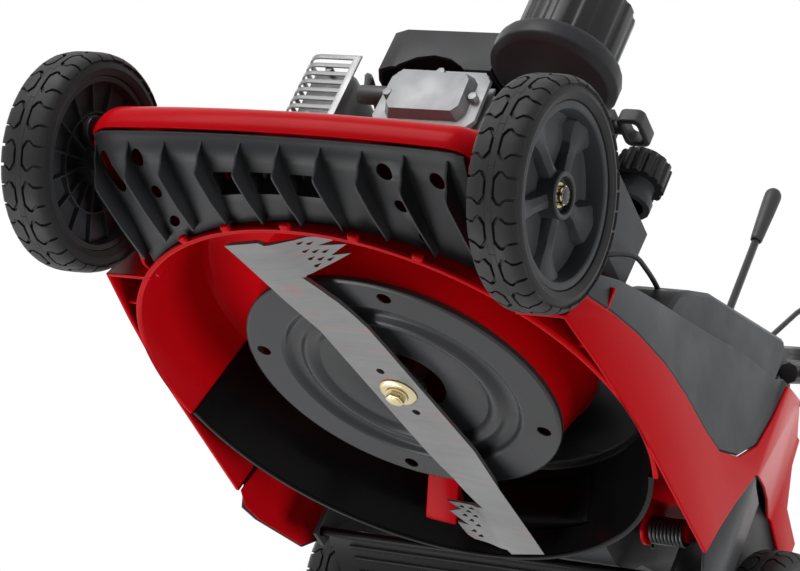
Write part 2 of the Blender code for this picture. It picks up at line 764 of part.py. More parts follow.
def baffle_point(u, t, depth):
    """Point of the front baffle: u across, t from lip to rim, depth below its face."""
    angle = math.radians(NOSE_ARC[1] + 11)
    reach = NOSE_RADIUS + 0.0008
    across = u * BAFFLE_HALF_WIDTH
    lip = Vector((across * 1.015, NOSE_Y + nose_y(across) + reach * math.cos(angle),
                  high(NOSE_HEIGHT) + reach * math.sin(angle)))
    rim = CHAMBER_RADIUS + DECK_WALL + 0.0038
    foot = Vector((across * 0.985, -math.sqrt(rim ** 2 - (across * 0.985) ** 2), high(0.0)))
    down = Vector((0, -0.39, -0.92))
    return lip + (foot - lip) * t + down * depth


def make_front_baffle():
    first = FIN_MIDDLE - FIN_PITCH * (BAFFLE_FINS - 1) / 2
    spread = [(first + FIN_PITCH * i) / BAFFLE_HALF_WIDTH for i in range(BAFFLE_FINS)]
    half = FIN_WIDTH / 2 / BAFFLE_HALF_WIDTH
    bm = bmesh.new()
    sections = []
    for t, depth in zip(FIN_PLACES, FIN_DEPTHS):
        under = [baffle_point(-1, t, 0)]
        for u in spread:
            under += [baffle_point(u - half, t, 0), baffle_point(u - half, t, depth),
                      baffle_point(u + half, t, depth), baffle_point(u + half, t, 0)]
        under.append(baffle_point(1, t, 0))
        over = [baffle_point(u, t, -BAFFLE_WALL) for u in (1, 0.6, 0.2, -0.2, -0.6, -1)]
        sections.append([bm.verts.new(point) for point in under + over])
    count = len(sections[0])
    for near, far in zip(sections, sections[1:]):
        for i in range(count):
            bm.faces.new((near[i], near[i - 1], far[i - 1], far[i]))
    bm.faces.new(sections[0])
    bm.faces.new(reversed(sections[-1]))
    bmesh.ops.triangulate(bm, faces=[f for f in bm.faces if len(f.verts) > 4])
    bmesh.ops.recalc_face_normals(bm, faces=bm.faces)
    piece("front_baffle", bm, BLACK_PLASTIC)


def wall_profile(outer_gap, thickness, low, top):
    return raised([(chamber_radius(low) - outer_gap, low), (chamber_radius(top) - outer_gap, top),
                   (chamber_radius(top) - outer_gap - thickness, top),
                   (chamber_radius(low) - outer_gap - thickness, low)])


def make_chamber_liner():
    body = piece("chamber_liner", band(wall_profile(GAP, LINER_WALL, 0.0, LINER_TOP - GAP),
                                       LINER_START + 0.1, LINER_END - 0.1, 38), GLOSS_PLASTIC)
    cut(body, flat([sector(CHAMBER_RADIUS - 0.054, CHAMBER_RADIUS + 0.036, DOOR_START, DOOR_END, 14)],
                   high(DOOR_BOTTOM), high(DOOR_TOP)))
    join(body, kicker())


def make_discharge_door(axis):
    low = DOOR_BOTTOM + DOOR_SILL_GAP
    shape = band(wall_profile(GAP, LINER_WALL, low, DOOR_TOP - GAP),
                 DOOR_START + 0.1, DOOR_END - 0.1, 12)
    body = piece("discharge_door", shape, GLOSS_PLASTIC, axis)
    y, z = DOOR_HINGE_Y, DOOR_HINGE_HEIGHT
    join(body, rod(0.003, TUNNEL_RIGHT + TUNNEL_WALL + 2 * GAP, TUNNEL_LEFT - TUNNEL_WALL - 2 * GAP,
                   "X", (0, y, high(z)), 10))
    for middle in DOOR_LUGS:
        wall = math.sqrt((chamber_radius(0.072) - LINER_WALL / 2) ** 2 - middle ** 2)
        lug = raised([(wall, 0.066), (wall, 0.0765), (y, z + 0.002), (y, z - 0.002)])
        join(body, flat([lug], middle - 0.003, middle + 0.003, "YZ"))


def make_discharge_tunnel():
    body = piece("discharge_tunnel",
                 flat([raised(TUNNEL_OUTER)], TUNNEL_RIGHT, TUNNEL_LEFT, "YZ"), BLACK_PLASTIC)
    cut(body, flat([raised(TUNNEL_INNER)], TUNNEL_RIGHT + TUNNEL_WALL, TUNNEL_LEFT - TUNNEL_WALL, "YZ"))
    cut(body, rod(CHAMBER_RADIUS + GAP, high(-0.020), high(CHAMBER_DEPTH + DECK_WALL + GAP), "Z",
                  (0, 0, 0), CHAMBER_STEPS * 2))


def frame_plate(side):
    outline = [(0.260, 0.003), (0.282, 0.003), (0.290, 0.030), (0.380, 0.028), (0.402, 0.024),
               (0.430, 0.034), (0.486, 0.190), (0.486, 0.210), (0.436, 0.225), (0.425, 0.262),
               (0.345, 0.322), (0.322, 0.328), (0.305, 0.322), (0.301, 0.300), (0.326, 0.200),
               (0.322, 0.069), (0.260, 0.069)]
    shaft = arc((pivot_y(REAR_AXLE_Y), AXLE_HEIGHT), REAR_SHAFT_RADIUS + PIVOT_BORE_GAP, 0, 330, 12)
    barrel = arc((SHIELD_LINE[0][0], high(SHIELD_LINE[0][1])), SHIELD_BARREL + PIVOT_BORE_GAP, 0, 330, 12)
    return sided(flat([raised(outline), shaft, barrel], FRAME_X, FRAME_X + FRAME_WALL, "YZ"), side)


def pivot_y(axle_y):
    return axle_y - ARM_LENGTH


def make_rear_frame():
    body = piece("rear_frame", frame_plate(1), BLACK_PAINT)
    join(body, frame_plate(-1))
    join(body, rod(CROSS_BAR_RADIUS, -FRAME_X - 0.001, FRAME_X + 0.001, "X",
                   (0, CROSS_BAR_Y, high(CROSS_BAR_HEIGHT)), 12))
    place = along_handle(0, 0)
    for side in (1, -1):
        for radius, start, end in ((0.0040, FRAME_X + 0.001, LOWER_X + HANDLE_TUBE + 0.0025),
                                   (0.0075, LOWER_X + HANDLE_TUBE + GAP, LOWER_X + HANDLE_TUBE + 0.0055)):
            ends = sorted((side * start, side * end))
            join(body, cross_rod(radius, ends[0], ends[1], place, 10))


def rear_hinge():
    y = CROSS_BAR_Y + CROSS_BAR_RADIUS + REAR_HINGE_RADIUS + 0.0005
    return (0, y, high(CROSS_BAR_HEIGHT))


def make_rear_door(axis):
    y, z = rear_hinge()[1:]
    body = piece("rear_door", rod(REAR_HINGE_RADIUS, -0.150, 0.150, "X", (0, y, z), 10),
                 BLACK_PLASTIC, axis)
    outline = raised([(y - 0.003, CROSS_BAR_HEIGHT), (y + 0.004, CROSS_BAR_HEIGHT),
                      (REAR_DOOR_Y + REAR_DOOR_WALL, 0.180), (REAR_DOOR_Y + REAR_DOOR_WALL, 0.078),
                      (REAR_DOOR_Y, 0.078), (REAR_DOOR_Y, 0.183)])
    join(body, flat([outline], -0.150, 0.150, "YZ"))


def make_trail_shield(axis):
    upper = [(y, z + SHIELD_WALL / 2) for y, z in SHIELD_LINE]
    lower = [(y, z - SHIELD_WALL / 2) for y, z in reversed(SHIELD_LINE)]
    bm = flat([raised(upper + lower)], -FRAME_X + 0.0067, FRAME_X - 0.0367, "YZ")
    body = piece("trail_shield", bm, GLOSS_PLASTIC, axis)
    y, z = SHIELD_LINE[0]
    end = FRAME_X + FRAME_WALL - GAP
    join(body, rod(SHIELD_BARREL, -end, end, "X", (0, y, high(z)), 12))


def make_shield_spring():
    """Torsion spring as one unbroken wire: a straight leg, the curls and another leg."""
    step = 2 * math.pi / SPRING_CURL_POINTS
    points = []
    for i in range(SPRING_CURLS * SPRING_CURL_POINTS + 1):
        turn = i * step
        points.append(Vector((SPRING_X + SPRING_PITCH * turn / (2 * math.pi),
                              SPRING_Y + SPRING_RADIUS * math.cos(turn),
                              high(SPRING_HEIGHT) + SPRING_RADIUS * math.sin(turn))))
    first = points[0] + Vector((0, 0, -0.014))
    last = points[-1] + Vector((0, 0, 0.014))
    least = min((a - b).length for i, a in enumerate(points) for b in points[i + SPRING_CURL_POINTS - 1:])
    print("least gap of the spring to itself:", round(least - 2 * SPRING_WIRE, 5))
    tube("shield_spring", [first] + points + [last], SPRING_WIRE, BRIGHT_STEEL, None, SPRING_WIRE_SIDES)


def make_arch_cover(side, name):
    outline = [(0.205, -0.010), (0.300, 0.008), (0.333, 0.050), (0.333, 0.150), (0.272, 0.132),
               (0.240, 0.132), (0.218, 0.100), (0.200, 0.060), (0.190, 0.010)]
    bm = flat([raised(outline)], -DECK_WALL - GAP - COVER_WALL, -DECK_WALL - GAP, "YZ")
    piece(name, sided(sliced(bm, [0.235, 0.290], flank_x), side), BLACK_PLASTIC)


def cover_rows(lift=0.0):
    lower = [Vector((flank_x(y) - DECK_WALL / 2, y, high(z + COVER_WALL + lift))) for y, z in FLANK_TOP]
    crest = [Vector((CHAMBER_RADIUS + out, y, high(z + lift))) for y, z, out in CREST]
    inner = []
    dome = CHAMBER_RADIUS + DECK_WALL - 0.018
    for i, (y, z, out) in enumerate(CREST):
        if i < 3:
            inner.append(Vector((math.sqrt(dome ** 2 - y ** 2) + 0.005, y,
                                 high(max(z - 0.004, SHOULDER_HEIGHT + DECK_WALL + COVER_WALL + 0.001)
                                      + lift))))
        else:
            inner.append(Vector((COVER_INNER_X, y, high(COVER_INNER_HEIGHT + lift))))
    return [lower, crest, inner]


def make_side_cover(side, name):
    bm = strip(cover_rows(), COVER_WALL, (-0.55, 0, -0.83))
    piece(name, sided(bm, side), GREY_PLASTIC)


def make_console():
    low, top = CONSOLE_X
    bm = bevelled(flat([raised(CONSOLE_LINE)], low, top, "YZ"), 0.004, 1, 60)
    body = piece("lever_console", bm, GREY_PLASTIC)
    cut(body, flat([raised(CONSOLE_INSIDE)], low + COVER_WALL, top - COVER_WALL, "YZ"))
    volume = strip(cover_rows(0.0008), 0.200, (0, 0, -1))
    cut(body, volume)
    cut(body, box((LEVER_X - LEVER_SLOT / 2, LEVER_Y - 0.013, high(LEVER_PIVOT_HEIGHT - 0.009)),
                  (LEVER_X + LEVER_SLOT / 2, LEVER_Y + 0.058, high(0.330))))
    join(body, rod(LEVER_PIN, low + 0.001, top - 0.001, "X", (0, LEVER_Y, high(LEVER_PIVOT_HEIGHT)), 10))
    cut(body, tube_shape(cable_route(), CABLE_RADIUS + GAP, 1))


def make_lever(axis):
    half = LEVER_SLOT / 2 - GAP
    centre = (LEVER_X, LEVER_Y, high(LEVER_PIVOT_HEIGHT))
    body = piece("discharge_lever", rod(0.007, -half, half, "X", centre, 12), BRIGHT_STEEL, axis)
    join(body, rod(LEVER_ROD, high(LEVER_PIVOT_HEIGHT), high(LEVER_GRIP_START + 0.030), "Z",
                   (LEVER_X, LEVER_Y, 0), 12))
    cut(body, rod(LEVER_PIN + RUNNING, LEVER_X - 0.020, LEVER_X + 0.020, "X",
                  (0, LEVER_Y, high(LEVER_PIVOT_HEIGHT)), 12))
    grip = turned(raised([(0, LEVER_GRIP_END), (0.006, LEVER_GRIP_END), (0.0085, LEVER_GRIP_END - 0.006),
                          (0.0075, LEVER_GRIP_START + 0.02), (0.0062, LEVER_GRIP_START),
                          (LEVER_ROD + GAP, LEVER_GRIP_START),
                          (LEVER_ROD + GAP, LEVER_GRIP_START + 0.030 + GAP),
                          (0, LEVER_GRIP_START + 0.030 + GAP)]), 14, "Z", (LEVER_X, LEVER_Y, 0), False)
    piece("lever_grip", grip, SOFT_RUBBER, axis)


def tyre_profile():
    half = TYRE_WIDTH / 2
    seat = (RIM_RADIUS + GAP) / math.cos(math.pi / TYRE_STEPS)
    side = [(seat, half - 0.004), (0.0960, half), (WHEEL_RADIUS, TYRE_BAND)]
    return side + [(r, -a) for r, a in reversed(side)]


def make_wheel(name, axle_y, side):
    centre = (WHEEL_X, axle_y, AXLE_HEIGHT)
    axis = pivot(name + "_axle", (side * WHEEL_X, axle_y, AXLE_HEIGHT))
    half_step = 180.0 / TYRE_STEPS
    piece(name + "_tyre", sided(turned(tyre_profile(), TYRE_STEPS, "X", centre, True, half_step), side),
          TYRE_RUBBER, axis)
    bore = AXLE_RADIUS + PIVOT_BORE_GAP
    rim = [(bore, 0.0190), (HUB_RADIUS, 0.0190), (HUB_RADIUS, WEB_FACE), (0.066, WEB_FACE),
           (0.0735, 0.0195), (RIM_RADIUS, 0.0195), (RIM_RADIUS, -0.0195), (0.0745, WEB_BACK),
           (HUB_RADIUS - 0.002, WEB_BACK), (HUB_RADIUS - 0.002, -0.0195), (bore, -0.0195)]
    body = piece(name + "_rim", sided(turned(rim, RIM_STEPS, "X", centre), side), GREY_PLASTIC, axis)
    shapes = [flat([spoke_pocket(i)], WEB_FACE - POCKET_DEPTH, WEB_FACE + 0.010, "YZ")
              for i in range(SPOKES)]
    shapes.append(rod(HUB_RECESS_RADIUS, 0.0125, 0.0300, "X", (0, 0, 0), 12))
    for bm in shapes:
        bmesh.ops.translate(bm, verts=bm.verts, vec=centre)
        cut(body, sided(bm, side))


def spoke_pocket(index):
    """Blind sector between two spokes, with straight flanks."""
    spread = 180.0 / SPOKES
    inner, outer = 0.028, 0.064
    near = spread - math.degrees(math.asin(SPOKE_WIDTH / 2 / inner))
    far = spread - math.degrees(math.asin(SPOKE_WIDTH / 2 / outer))
    middle = 90.0 + 2 * spread * index
    return (arc((0, 0), outer, middle - far, middle + far, 5)
            + arc((0, 0), inner, middle + near, middle - near, 2))


def arm_plate(axle_y):
    """Link between a height pivot and its axle: two rounded ends and straight sides."""
    front = pivot_y(axle_y)
    outline = (arc((axle_y, AXLE_HEIGHT), ARM_BOSS_RADIUS, -90, 90, 9)
               + arc((front, AXLE_HEIGHT), ARM_BOSS_RADIUS, 90, 270, 9))
    return outline


def make_height_arm(name, axle_y, side, low, bore):
    front = pivot_y(axle_y)
    axis = pivot(name + "_pivot", (side * (low + ARM_THICKNESS / 2), front, AXLE_HEIGHT))
    loops = [arm_plate(axle_y)]
    if bore > 0:
        loops.append(arc((front, AXLE_HEIGHT), bore, 0, 330, 12))
    body = piece(name, sided(flat(loops, low, low + ARM_THICKNESS, "YZ"), side), BLACK_PAINT, axis)
    ends = sorted((side * (low + 0.001), side * (WHEEL_X + 0.0195)))
    join(body, rod(AXLE_RADIUS, ends[0], ends[1], "X", (0, axle_y, AXLE_HEIGHT), 12))
    nut = sorted((side * (WHEEL_X + 0.0128), side * (WHEEL_X + 0.0190)))
    join(body, rod(NUT_RADIUS, nut[0], nut[1], "X", (0, axle_y, AXLE_HEIGHT), 6))
    return body


def add_height_lever(body, side, low):
    """Spring lever on the rear right arm, with a round knob."""
    foot = (pivot_y(REAR_AXLE_Y) + 0.020, AXLE_HEIGHT + 0.004)
    head = (foot[0] - HEIGHT_LEVER_LEAN, foot[1] + HEIGHT_LEVER_RISE)
    outline = [(foot[0] - 0.007, foot[1]), (foot[0] + 0.007, foot[1]), (head[0] + 0.005, head[1]),
               (head[0] - 0.005, head[1])]
    join(body, sided(flat([outline], low, low + ARM_THICKNESS, "YZ"), side))
    ends = sorted((side * low, side * (low + 0.026)))
    join(body, rod(HEIGHT_KNOB_RADIUS, ends[0], ends[1], "X", (0, head[0], head[1]), 12))


def make_wheels():
    for label, axle_y in (("front", FRONT_AXLE_Y), ("rear", REAR_AXLE_Y)):
        for hand, side in (("left", 1), ("right", -1)):
            make_wheel(label + "_" + hand, axle_y, side)


def make_arms():
    pin = FRONT_PIN_RADIUS + PIVOT_BORE_GAP
    for hand, side in (("left", 1), ("right", -1)):
        make_height_arm("front_arm_" + hand, FRONT_AXLE_Y, side, FRONT_ARM_X, pin)
        body = make_height_arm("rear_arm_" + hand, REAR_AXLE_Y, side, REAR_ARM_X,
                               REAR_SHAFT_RADIUS + PIVOT_BORE_GAP)
        if side < 0:
            add_height_lever(body, side, REAR_ARM_X)


def front_pins():
    """Pins on the nose's sides that carry the front height arms."""
    shapes = []
    for side in (1, -1):
        ends = sorted((side * (NOSE_HALF_WIDTH - DECK_WALL / 2),
                       side * (FRONT_ARM_X + ARM_THICKNESS + 0.002)))
        shapes.append(rod(FRONT_PIN_RADIUS, ends[0], ends[1], "X",
                          (0, pivot_y(FRONT_AXLE_Y), AXLE_HEIGHT), 12))
    return shapes


def make_disc():
    """Guard disc under the motor: flat ring, rolled edge and a raised middle."""
    low = DISC_HEIGHT
    pan = MOUND_HEIGHT - 0.004
    profile = raised([
        (0.042, pan), (0.088, pan), (0.100, low), (DISC_RADIUS - 0.003, low),
        (DISC_RADIUS, low + 0.003), (DISC_RADIUS, low + 0.006), (DISC_RADIUS - 0.0015, low + 0.006),
        (DISC_RADIUS - 0.0045, low + 0.0017), (0.101, low + 0.0017), (0.089, pan + 0.0017),
        (0.042, pan + 0.0017)])
    body = piece("mount_disc", turned(profile, DISC_STEPS), BLACK_PAINT)
    for angle in (35.0, 125.0, 215.0, 305.0):
        centre = arc((0, 0), MOUND_RADIUS - 2 * DECK_WALL, angle, angle + 1, 2)[0]
        join(body, rod(0.0035, high(low - 0.003), high(MOUND_HEIGHT - GAP), "Z", (*centre, 0), 6))


def blade_outline():
    """One half of the blade as cut from the bar: tip, stepped tail, sail, slot and waist."""
    tip, half = BLADE_LENGTH / 2, BLADE_WIDTH / 2
    tail = [(0.0, 0.011), (-0.007, 0.0136), (-0.007, 0.022)]
    sail = [(-0.011, 0.035), (-0.020, 0.050), (-0.032, 0.060), (-0.055, 0.066), (-0.060, 0.045),
            (-0.062, 0.025), (-0.062, 0.011)]
    waist = [(-0.077, 0.0155), (-0.109, 0.022), (-0.137, half - 0.0015), (-0.182, half)]
    return [(tip, -half)] + [(tip + place, across) for place, across in tail + sail + waist]


def blade_rise(place, across):
    """Height of the blade's underside; place is measured from the tip, across is behind the edge."""
    lift = BLADE_TWIST * lookup(TWIST_PLACES, place) * lookup(((-0.012, 0.0), (0.012, 1.0)), across)
    behind = across - lookup(SAIL_FOLD, place)
    if place > SAIL_FOLD[0][0] - 0.001 and behind > 0:
        lift += lookup(SAIL_SLOPES, place) * behind * min(1.0, behind / SAIL_BEND) ** 0.5
    return BLADE_HEIGHT - lookup(BLADE_DROPS, place) + lift


def make_blade(axis):
    """One bar, cut to its outline and pressed: lowered ends, twisted backs and raised sails."""
    tip, half = BLADE_LENGTH / 2, BLADE_WIDTH / 2
    outline = blade_outline()
    bm = flat([outline + [(-u, -v) for u, v in outline]], 0, BLADE_THICKNESS)
    creases = [((side * (tip + place), 0, 0), (1, 0, 0)) for place, drop in BLADE_DROPS[:-1]
               for side in (1, -1)]
    creases += [((0, side * across, 0), (0, 1, 0)) for side in (1, -1)
                for across in (0.012, half - CUTTING_WIDTH, 0.040)]
    for point, normal in creases:
        bmesh.ops.bisect_plane(bm, geom=bm.verts[:] + bm.edges[:] + bm.faces[:], plane_co=point,
                               plane_no=normal)
    bmesh.ops.triangulate(bm, faces=bm.faces)
    for vert in bm.verts:
        side = 1 if vert.co.x > 0 else -1
        place, across = side * vert.co.x - tip, side * vert.co.y
        wall = 0.0
        if vert.co.z > BLADE_THICKNESS / 2:
            wall = lookup(((0.022, BLADE_THICKNESS), (0.040, SAIL_THICKNESS)), across)
            if place > CUTTING_START and across < -half + 0.0001:
                wall = CUTTING_EDGE
        vert.co.z = high(blade_rise(place, across)) + wall
    bmesh.ops.recalc_face_normals(bm, faces=bm.faces)
    bmesh.ops.rotate(bm, verts=bm.verts, matrix=Matrix.Rotation(math.radians(BLADE_TURN), 3, "Z"))
    body = piece("blade", bm, BLADE_STEEL, axis)
    cut(body, rod(BLADE_BORE, 0, high(0.060), "Z", (0, 0, 0), 16))
    for sign in (1, -1):
        hole = rod(0.0042, 0, high(0.060), "Z", (sign * BLADE_HOLE_PLACE, 0, 0), 10)
        bmesh.ops.rotate(hole, verts=hole.verts,
                         matrix=Matrix.Rotation(math.radians(BLADE_TURN), 3, "Z"))
        cut(body, hole)


def make_blade_bolts(axis):
    washer_top = BLADE_HEIGHT - GAP
    washer_low = washer_top - WASHER_THICKNESS
    piece("blade_washer", turned(raised([
        (BLADE_BORE, washer_top), (WASHER_RADIUS, washer_top), (WASHER_RADIUS, washer_top - 0.001),
        (WASHER_RADIUS - 0.003, washer_low), (BLADE_BORE, washer_low)]), 20), ZINC, axis)
    head_top = washer_low - GAP
    body = piece("blade_bolt", rod(0.0048, high(head_top - 0.001), high(0.085), "Z", (0, 0, 0), 12),
                 ZINC, axis)
    join(body, rod(BOLT_RADIUS, high(head_top - BOLT_HEAD), high(head_top), "Z", (0, 0, 0), 6))
    join(body, rod(BOLT_RADIUS + 0.002, high(head_top - 0.0018), high(head_top), "Z", (0, 0, 0), 18))


def make_crankshaft(axis):
    """Vertical crankshaft with the blade adapter, the belt pulley and the crank web."""
    foot = BLADE_HEIGHT + BLADE_THICKNESS + GAP
    profile = raised([
        (0, 0.088), (0.0055, 0.088), (0.0055, foot), (ADAPTER_RADIUS, foot), (ADAPTER_RADIUS, foot + 0.009),
        (0.0180, foot + 0.013), (0.0180, 0.050), (CRANK_RADIUS, 0.052), (CRANK_RADIUS, 0.1015),
        (PULLEY_RADIUS, 0.1015), (PULLEY_RADIUS, 0.1035), (PULLEY_RADIUS - BELT_GROOVE, 0.1074),
        (PULLEY_RADIUS - BELT_GROOVE, 0.1146), (PULLEY_RADIUS, 0.1175), (PULLEY_RADIUS, 0.1180),
        (CRANK_RADIUS, 0.1180), (CRANK_RADIUS, 0.150), (0.030, 0.1515), (0.030, 0.172),
        (CRANK_RADIUS, 0.174), (CRANK_RADIUS, 0.306), (0.010, 0.312), (0, 0.312)])
    piece("crankshaft", turned(profile, 14, "Z", (0, 0, 0), False), BRIGHT_STEEL, axis)


def make_flywheel(axis):
    body = piece("flywheel", turned(raised([
        (CRANK_RADIUS + GAP, 0.288), (0.030, 0.288), (0.060, 0.284), (FLYWHEEL_RADIUS, 0.284),
        (FLYWHEEL_RADIUS, 0.301), (CRANK_RADIUS + GAP, 0.301)]), 20), CAST_METAL, axis)
    for i in range(10):
        fin = box((0.046, -0.002, high(0.3005)), (0.080, 0.002, high(0.314)))
        bmesh.ops.rotate(fin, verts=fin.verts, matrix=Matrix.Rotation(math.radians(36 * i + 9), 3, "Z"))
        join(body, fin)


def belt_outline(offset, count=12):
    """Open belt's outline round both pulleys, at a distance from their grooves."""
    small = PULLEY_RADIUS - BELT_GROOVE + RUNNING + offset
    large = GEAR_PULLEY_RADIUS - BELT_GROOVE + RUNNING + offset
    reach = math.hypot(GEARBOX_X, pivot_y(REAR_AXLE_Y))
    lean = math.degrees(math.asin((large - small) / reach))
    far = arc((reach, 0), large, -90 - lean, 90 + lean, count)
    near = arc((0, 0), small, 90 + lean, 270 - lean, count)
    return far + near


def make_drive_belt():
    bm = flat([belt_outline(BELT_THICKNESS), belt_outline(0)],
              high(PULLEY_HEIGHT - BELT_WIDTH / 2), high(PULLEY_HEIGHT + BELT_WIDTH / 2))
    turn = math.atan2(pivot_y(REAR_AXLE_Y), GEARBOX_X)
    bmesh.ops.rotate(bm, verts=bm.verts, matrix=Matrix.Rotation(turn, 3, "Z"))
    piece("drive_belt", bm, SOFT_RUBBER)


def make_gearbox():
    y = pivot_y(REAR_AXLE_Y)
    shape = box((GEARBOX_X - GEARBOX_HALF, y - 0.034, high(0.024)),
                (GEARBOX_X + GEARBOX_HALF, y + 0.034, high(GEARBOX_TOP)))
    body = piece("gearbox", bevelled(shape, 0.008, 2, 60), CAST_METAL)
    join(body, rod(0.010, high(GEARBOX_TOP - 0.001), high(0.102), "Z", (GEARBOX_X, y, 0), 14))
    join(body, turned(raised([
        (0, 0.101), (GEAR_PULLEY_RADIUS, 0.101), (GEAR_PULLEY_RADIUS, 0.1035),
        (GEAR_PULLEY_RADIUS - BELT_GROOVE, 0.1074), (GEAR_PULLEY_RADIUS - BELT_GROOVE, 0.1146),
        (GEAR_PULLEY_RADIUS, 0.1175), (GEAR_PULLEY_RADIUS, 0.119), (0, 0.119)]), 18, "Z",
        (GEARBOX_X, y, 0), False))
    bore = REAR_SHAFT_RADIUS + PIVOT_BORE_GAP
    cut(body, rod(bore, GEARBOX_X - 0.040, GEARBOX_X + 0.040, "X", (0, y, AXLE_HEIGHT), 14))


def make_rear_shaft(axis):
    y = pivot_y(REAR_AXLE_Y)
    end = REAR_ARM_X + ARM_THICKNESS + 0.004
    body = piece("rear_shaft", rod(REAR_SHAFT_RADIUS, -end, end, "X", (0, y, AXLE_HEIGHT), 14),
                 BRIGHT_STEEL, axis)
    for side in (1, -1):
        ends = sorted((side * (end - 0.001), side * (end + 0.008)))
        join(body, rod(0.0105, ends[0], ends[1], "X", (0, y, AXLE_HEIGHT), 12))


def make_crankcase():
    bore = CRANK_RADIUS + RUNNING
    low = PLINTH_TOP + GAP
    profile = raised([
        (bore, low), (CRANKCASE_RADIUS, low), (CRANKCASE_RADIUS, 0.200), (0.074, 0.215),
        (0.074, CASE_TOP), (bore, CASE_TOP), (bore, CASE_TOP - 0.010), (0.036, CASE_TOP - 0.014),
        (0.036, 0.138), (bore, 0.134)])
    body = piece("crankcase", turned(profile, 22), CAST_METAL)
    join(body, box((CYLINDER_X - 0.040, -0.0880, high(0.203)), (CYLINDER_X + 0.040, -0.050, high(0.269))))
    for angle in LUG_ANGLES:
        x, y = arc((0, 0), LUG_REACH, angle, angle + 1, 2)[0]
        join(body, rod(LUG_RADIUS, high(0.150), high(SHROUD_LIP - GAP), "Z", (x, y, 0), 8, 22.5))
    middle = 0.82
    join(body, rod(0.016, high(0.150), high(0.182), "Z", (DIPSTICK_X * middle, DIPSTICK_Y * middle, 0), 12))
    join(body, rod(0.009, high(0.150), high(DIPSTICK_TOP), "Z", (DIPSTICK_X, DIPSTICK_Y, 0), 12))
    cut(body, rod(0.0035, high(0.158), high(0.230), "Z", (DIPSTICK_X, DIPSTICK_Y, 0), 8))


def make_cylinder():
    half = HEAD_WIDTH / 2
    rise = HEAD_HEIGHT / 2
    low = (CYLINDER_X - half + 0.008, HEAD_FRONT_Y, high(CYLINDER_HEIGHT - rise + 0.006))
    top = (CYLINDER_X + half - 0.008, -0.0880 - GAP, high(CYLINDER_HEIGHT + rise - 0.006))
    body = piece("cylinder", box(low, top), CAST_METAL)
    pitch = (HEAD_FRONT_Y + 0.0920) / (FIN_COUNT - 1)
    for i in range(FIN_COUNT):
        y = -0.0945 + pitch * i
        thick = 0.0015 if i < FIN_COUNT - 1 else 0.0045
        front = max(y - thick, HEAD_FRONT_Y - 0.0001)
        join(body, box((CYLINDER_X - half, front, high(CYLINDER_HEIGHT - rise)),
                       (CYLINDER_X + half, front + 2 * thick, high(CYLINDER_HEIGHT + rise))))


def shrunk(outline, centre, share):
    return [(centre[0] + (u - centre[0]) * share, centre[1] + (v - centre[1]) * share) for u, v in outline]


def make_valve_cover():
    back = HEAD_FRONT_Y - GAP - 0.0001
    middle = (0.010, 0.238)
    body = piece("valve_cover", flat([raised(COVER_LINE)], back - 0.0045, back, "XZ"), CAST_METAL)
    inner = shrunk(COVER_LINE, middle, 0.80)
    shape = flat([raised(inner)], COVER_FACE_Y, back - 0.003, "XZ")
    for vert in shape.verts:
        if vert.co.y < COVER_FACE_Y + 0.001:
            vert.co.x = middle[0] + (vert.co.x - middle[0]) * 0.88
            vert.co.z = high(middle[1]) + (vert.co.z - high(middle[1])) * 0.84
    join(body, shape)
    for x, z in COVER_BOLTS:
        join(body, rod(0.0048, COVER_FACE_Y + 0.004, back - 0.002, "Y", (x, 0, high(z)), 6))


def shroud_outline(offset):
    """Plan of the fan shroud: a round back, a square front and a scoop for the air filter."""
    radius = SHROUD_RADIUS - offset
    half = SHROUD_HALF_WIDTH - offset
    left = -0.082 + offset
    front = SHROUD_FRONT_Y + offset
    scoop = FILTER_RADIUS + 0.0015 + offset
    turn = math.degrees(math.acos((half - FILTER_X) / scoop))
    meet = 180.0 + math.degrees(math.asin((FILTER_Y - front) / scoop))
    points = [(left, front + 0.022), (left + 0.006, front + 0.006), (left + 0.022, front)]
    points += arc((FILTER_X, FILTER_Y), scoop, meet, turn, 6)
    start = -math.degrees(math.acos(half / radius))
    end = 180.0 + math.degrees(math.acos(-left / radius))
    return points + arc((0, 0), radius, start, end, 17)


def make_shroud():
    body = piece("fan_shroud", flat([shroud_outline(0)], high(SHROUD_LIP), high(SHROUD_TOP)), BLACK_PLASTIC)
    cut(body, flat([shroud_outline(SHROUD_WALL)], high(SHROUD_LIP - 0.010), high(SHROUD_TOP - SHROUD_WALL)))
    cut(body, rod(0.076, high(SHROUD_LIP), high(SHROUD_TOP + 0.010), "Z", (0, 0, 0), 24))
    arch = arc((-0.018, SHROUD_LIP - 0.036), 0.052, 152, 28, 7)
    cut(body, flat([raised(arch + [(0.028, 0.270), (-0.064, 0.270)])],
                   SHROUD_FRONT_Y - 0.010, SHROUD_FRONT_Y + 0.010, "XZ"))
    for angle in LUG_ANGLES:
        x, y = arc((0, 0), LUG_REACH, angle, angle + 1, 2)[0]
        join(body, rod(LUG_RADIUS, high(SHROUD_LIP), high(SHROUD_TOP - 0.001), "Z", (x, y, 0), 8, 22.5))


def make_recoil():
    low = SHROUD_TOP + GAP
    body = piece("recoil_housing", turned(raised([
        (0, RECOIL_TOP), (0.074, RECOIL_TOP), (0.087, 0.362), (RECOIL_RADIUS, low + 0.012),
        (RECOIL_RADIUS, low), (0.078, low), (0.078, low + 0.003), (0.089, low + 0.003),
        (0.089, low + 0.011), (0.084, 0.360), (0.072, RECOIL_TOP - 0.003),
        (0, RECOIL_TOP - 0.003)]), 24, "Z", (0, 0, 0), False), BLACK_PLASTIC)
    join(body, box((0.0865, -0.012, high(low)), (GUIDE_X, 0.012, high(0.362))))
    cut(body, rod(0.0030, 0.070, 0.120, "X", (0, 0, high(GRIP_Z)), 10))


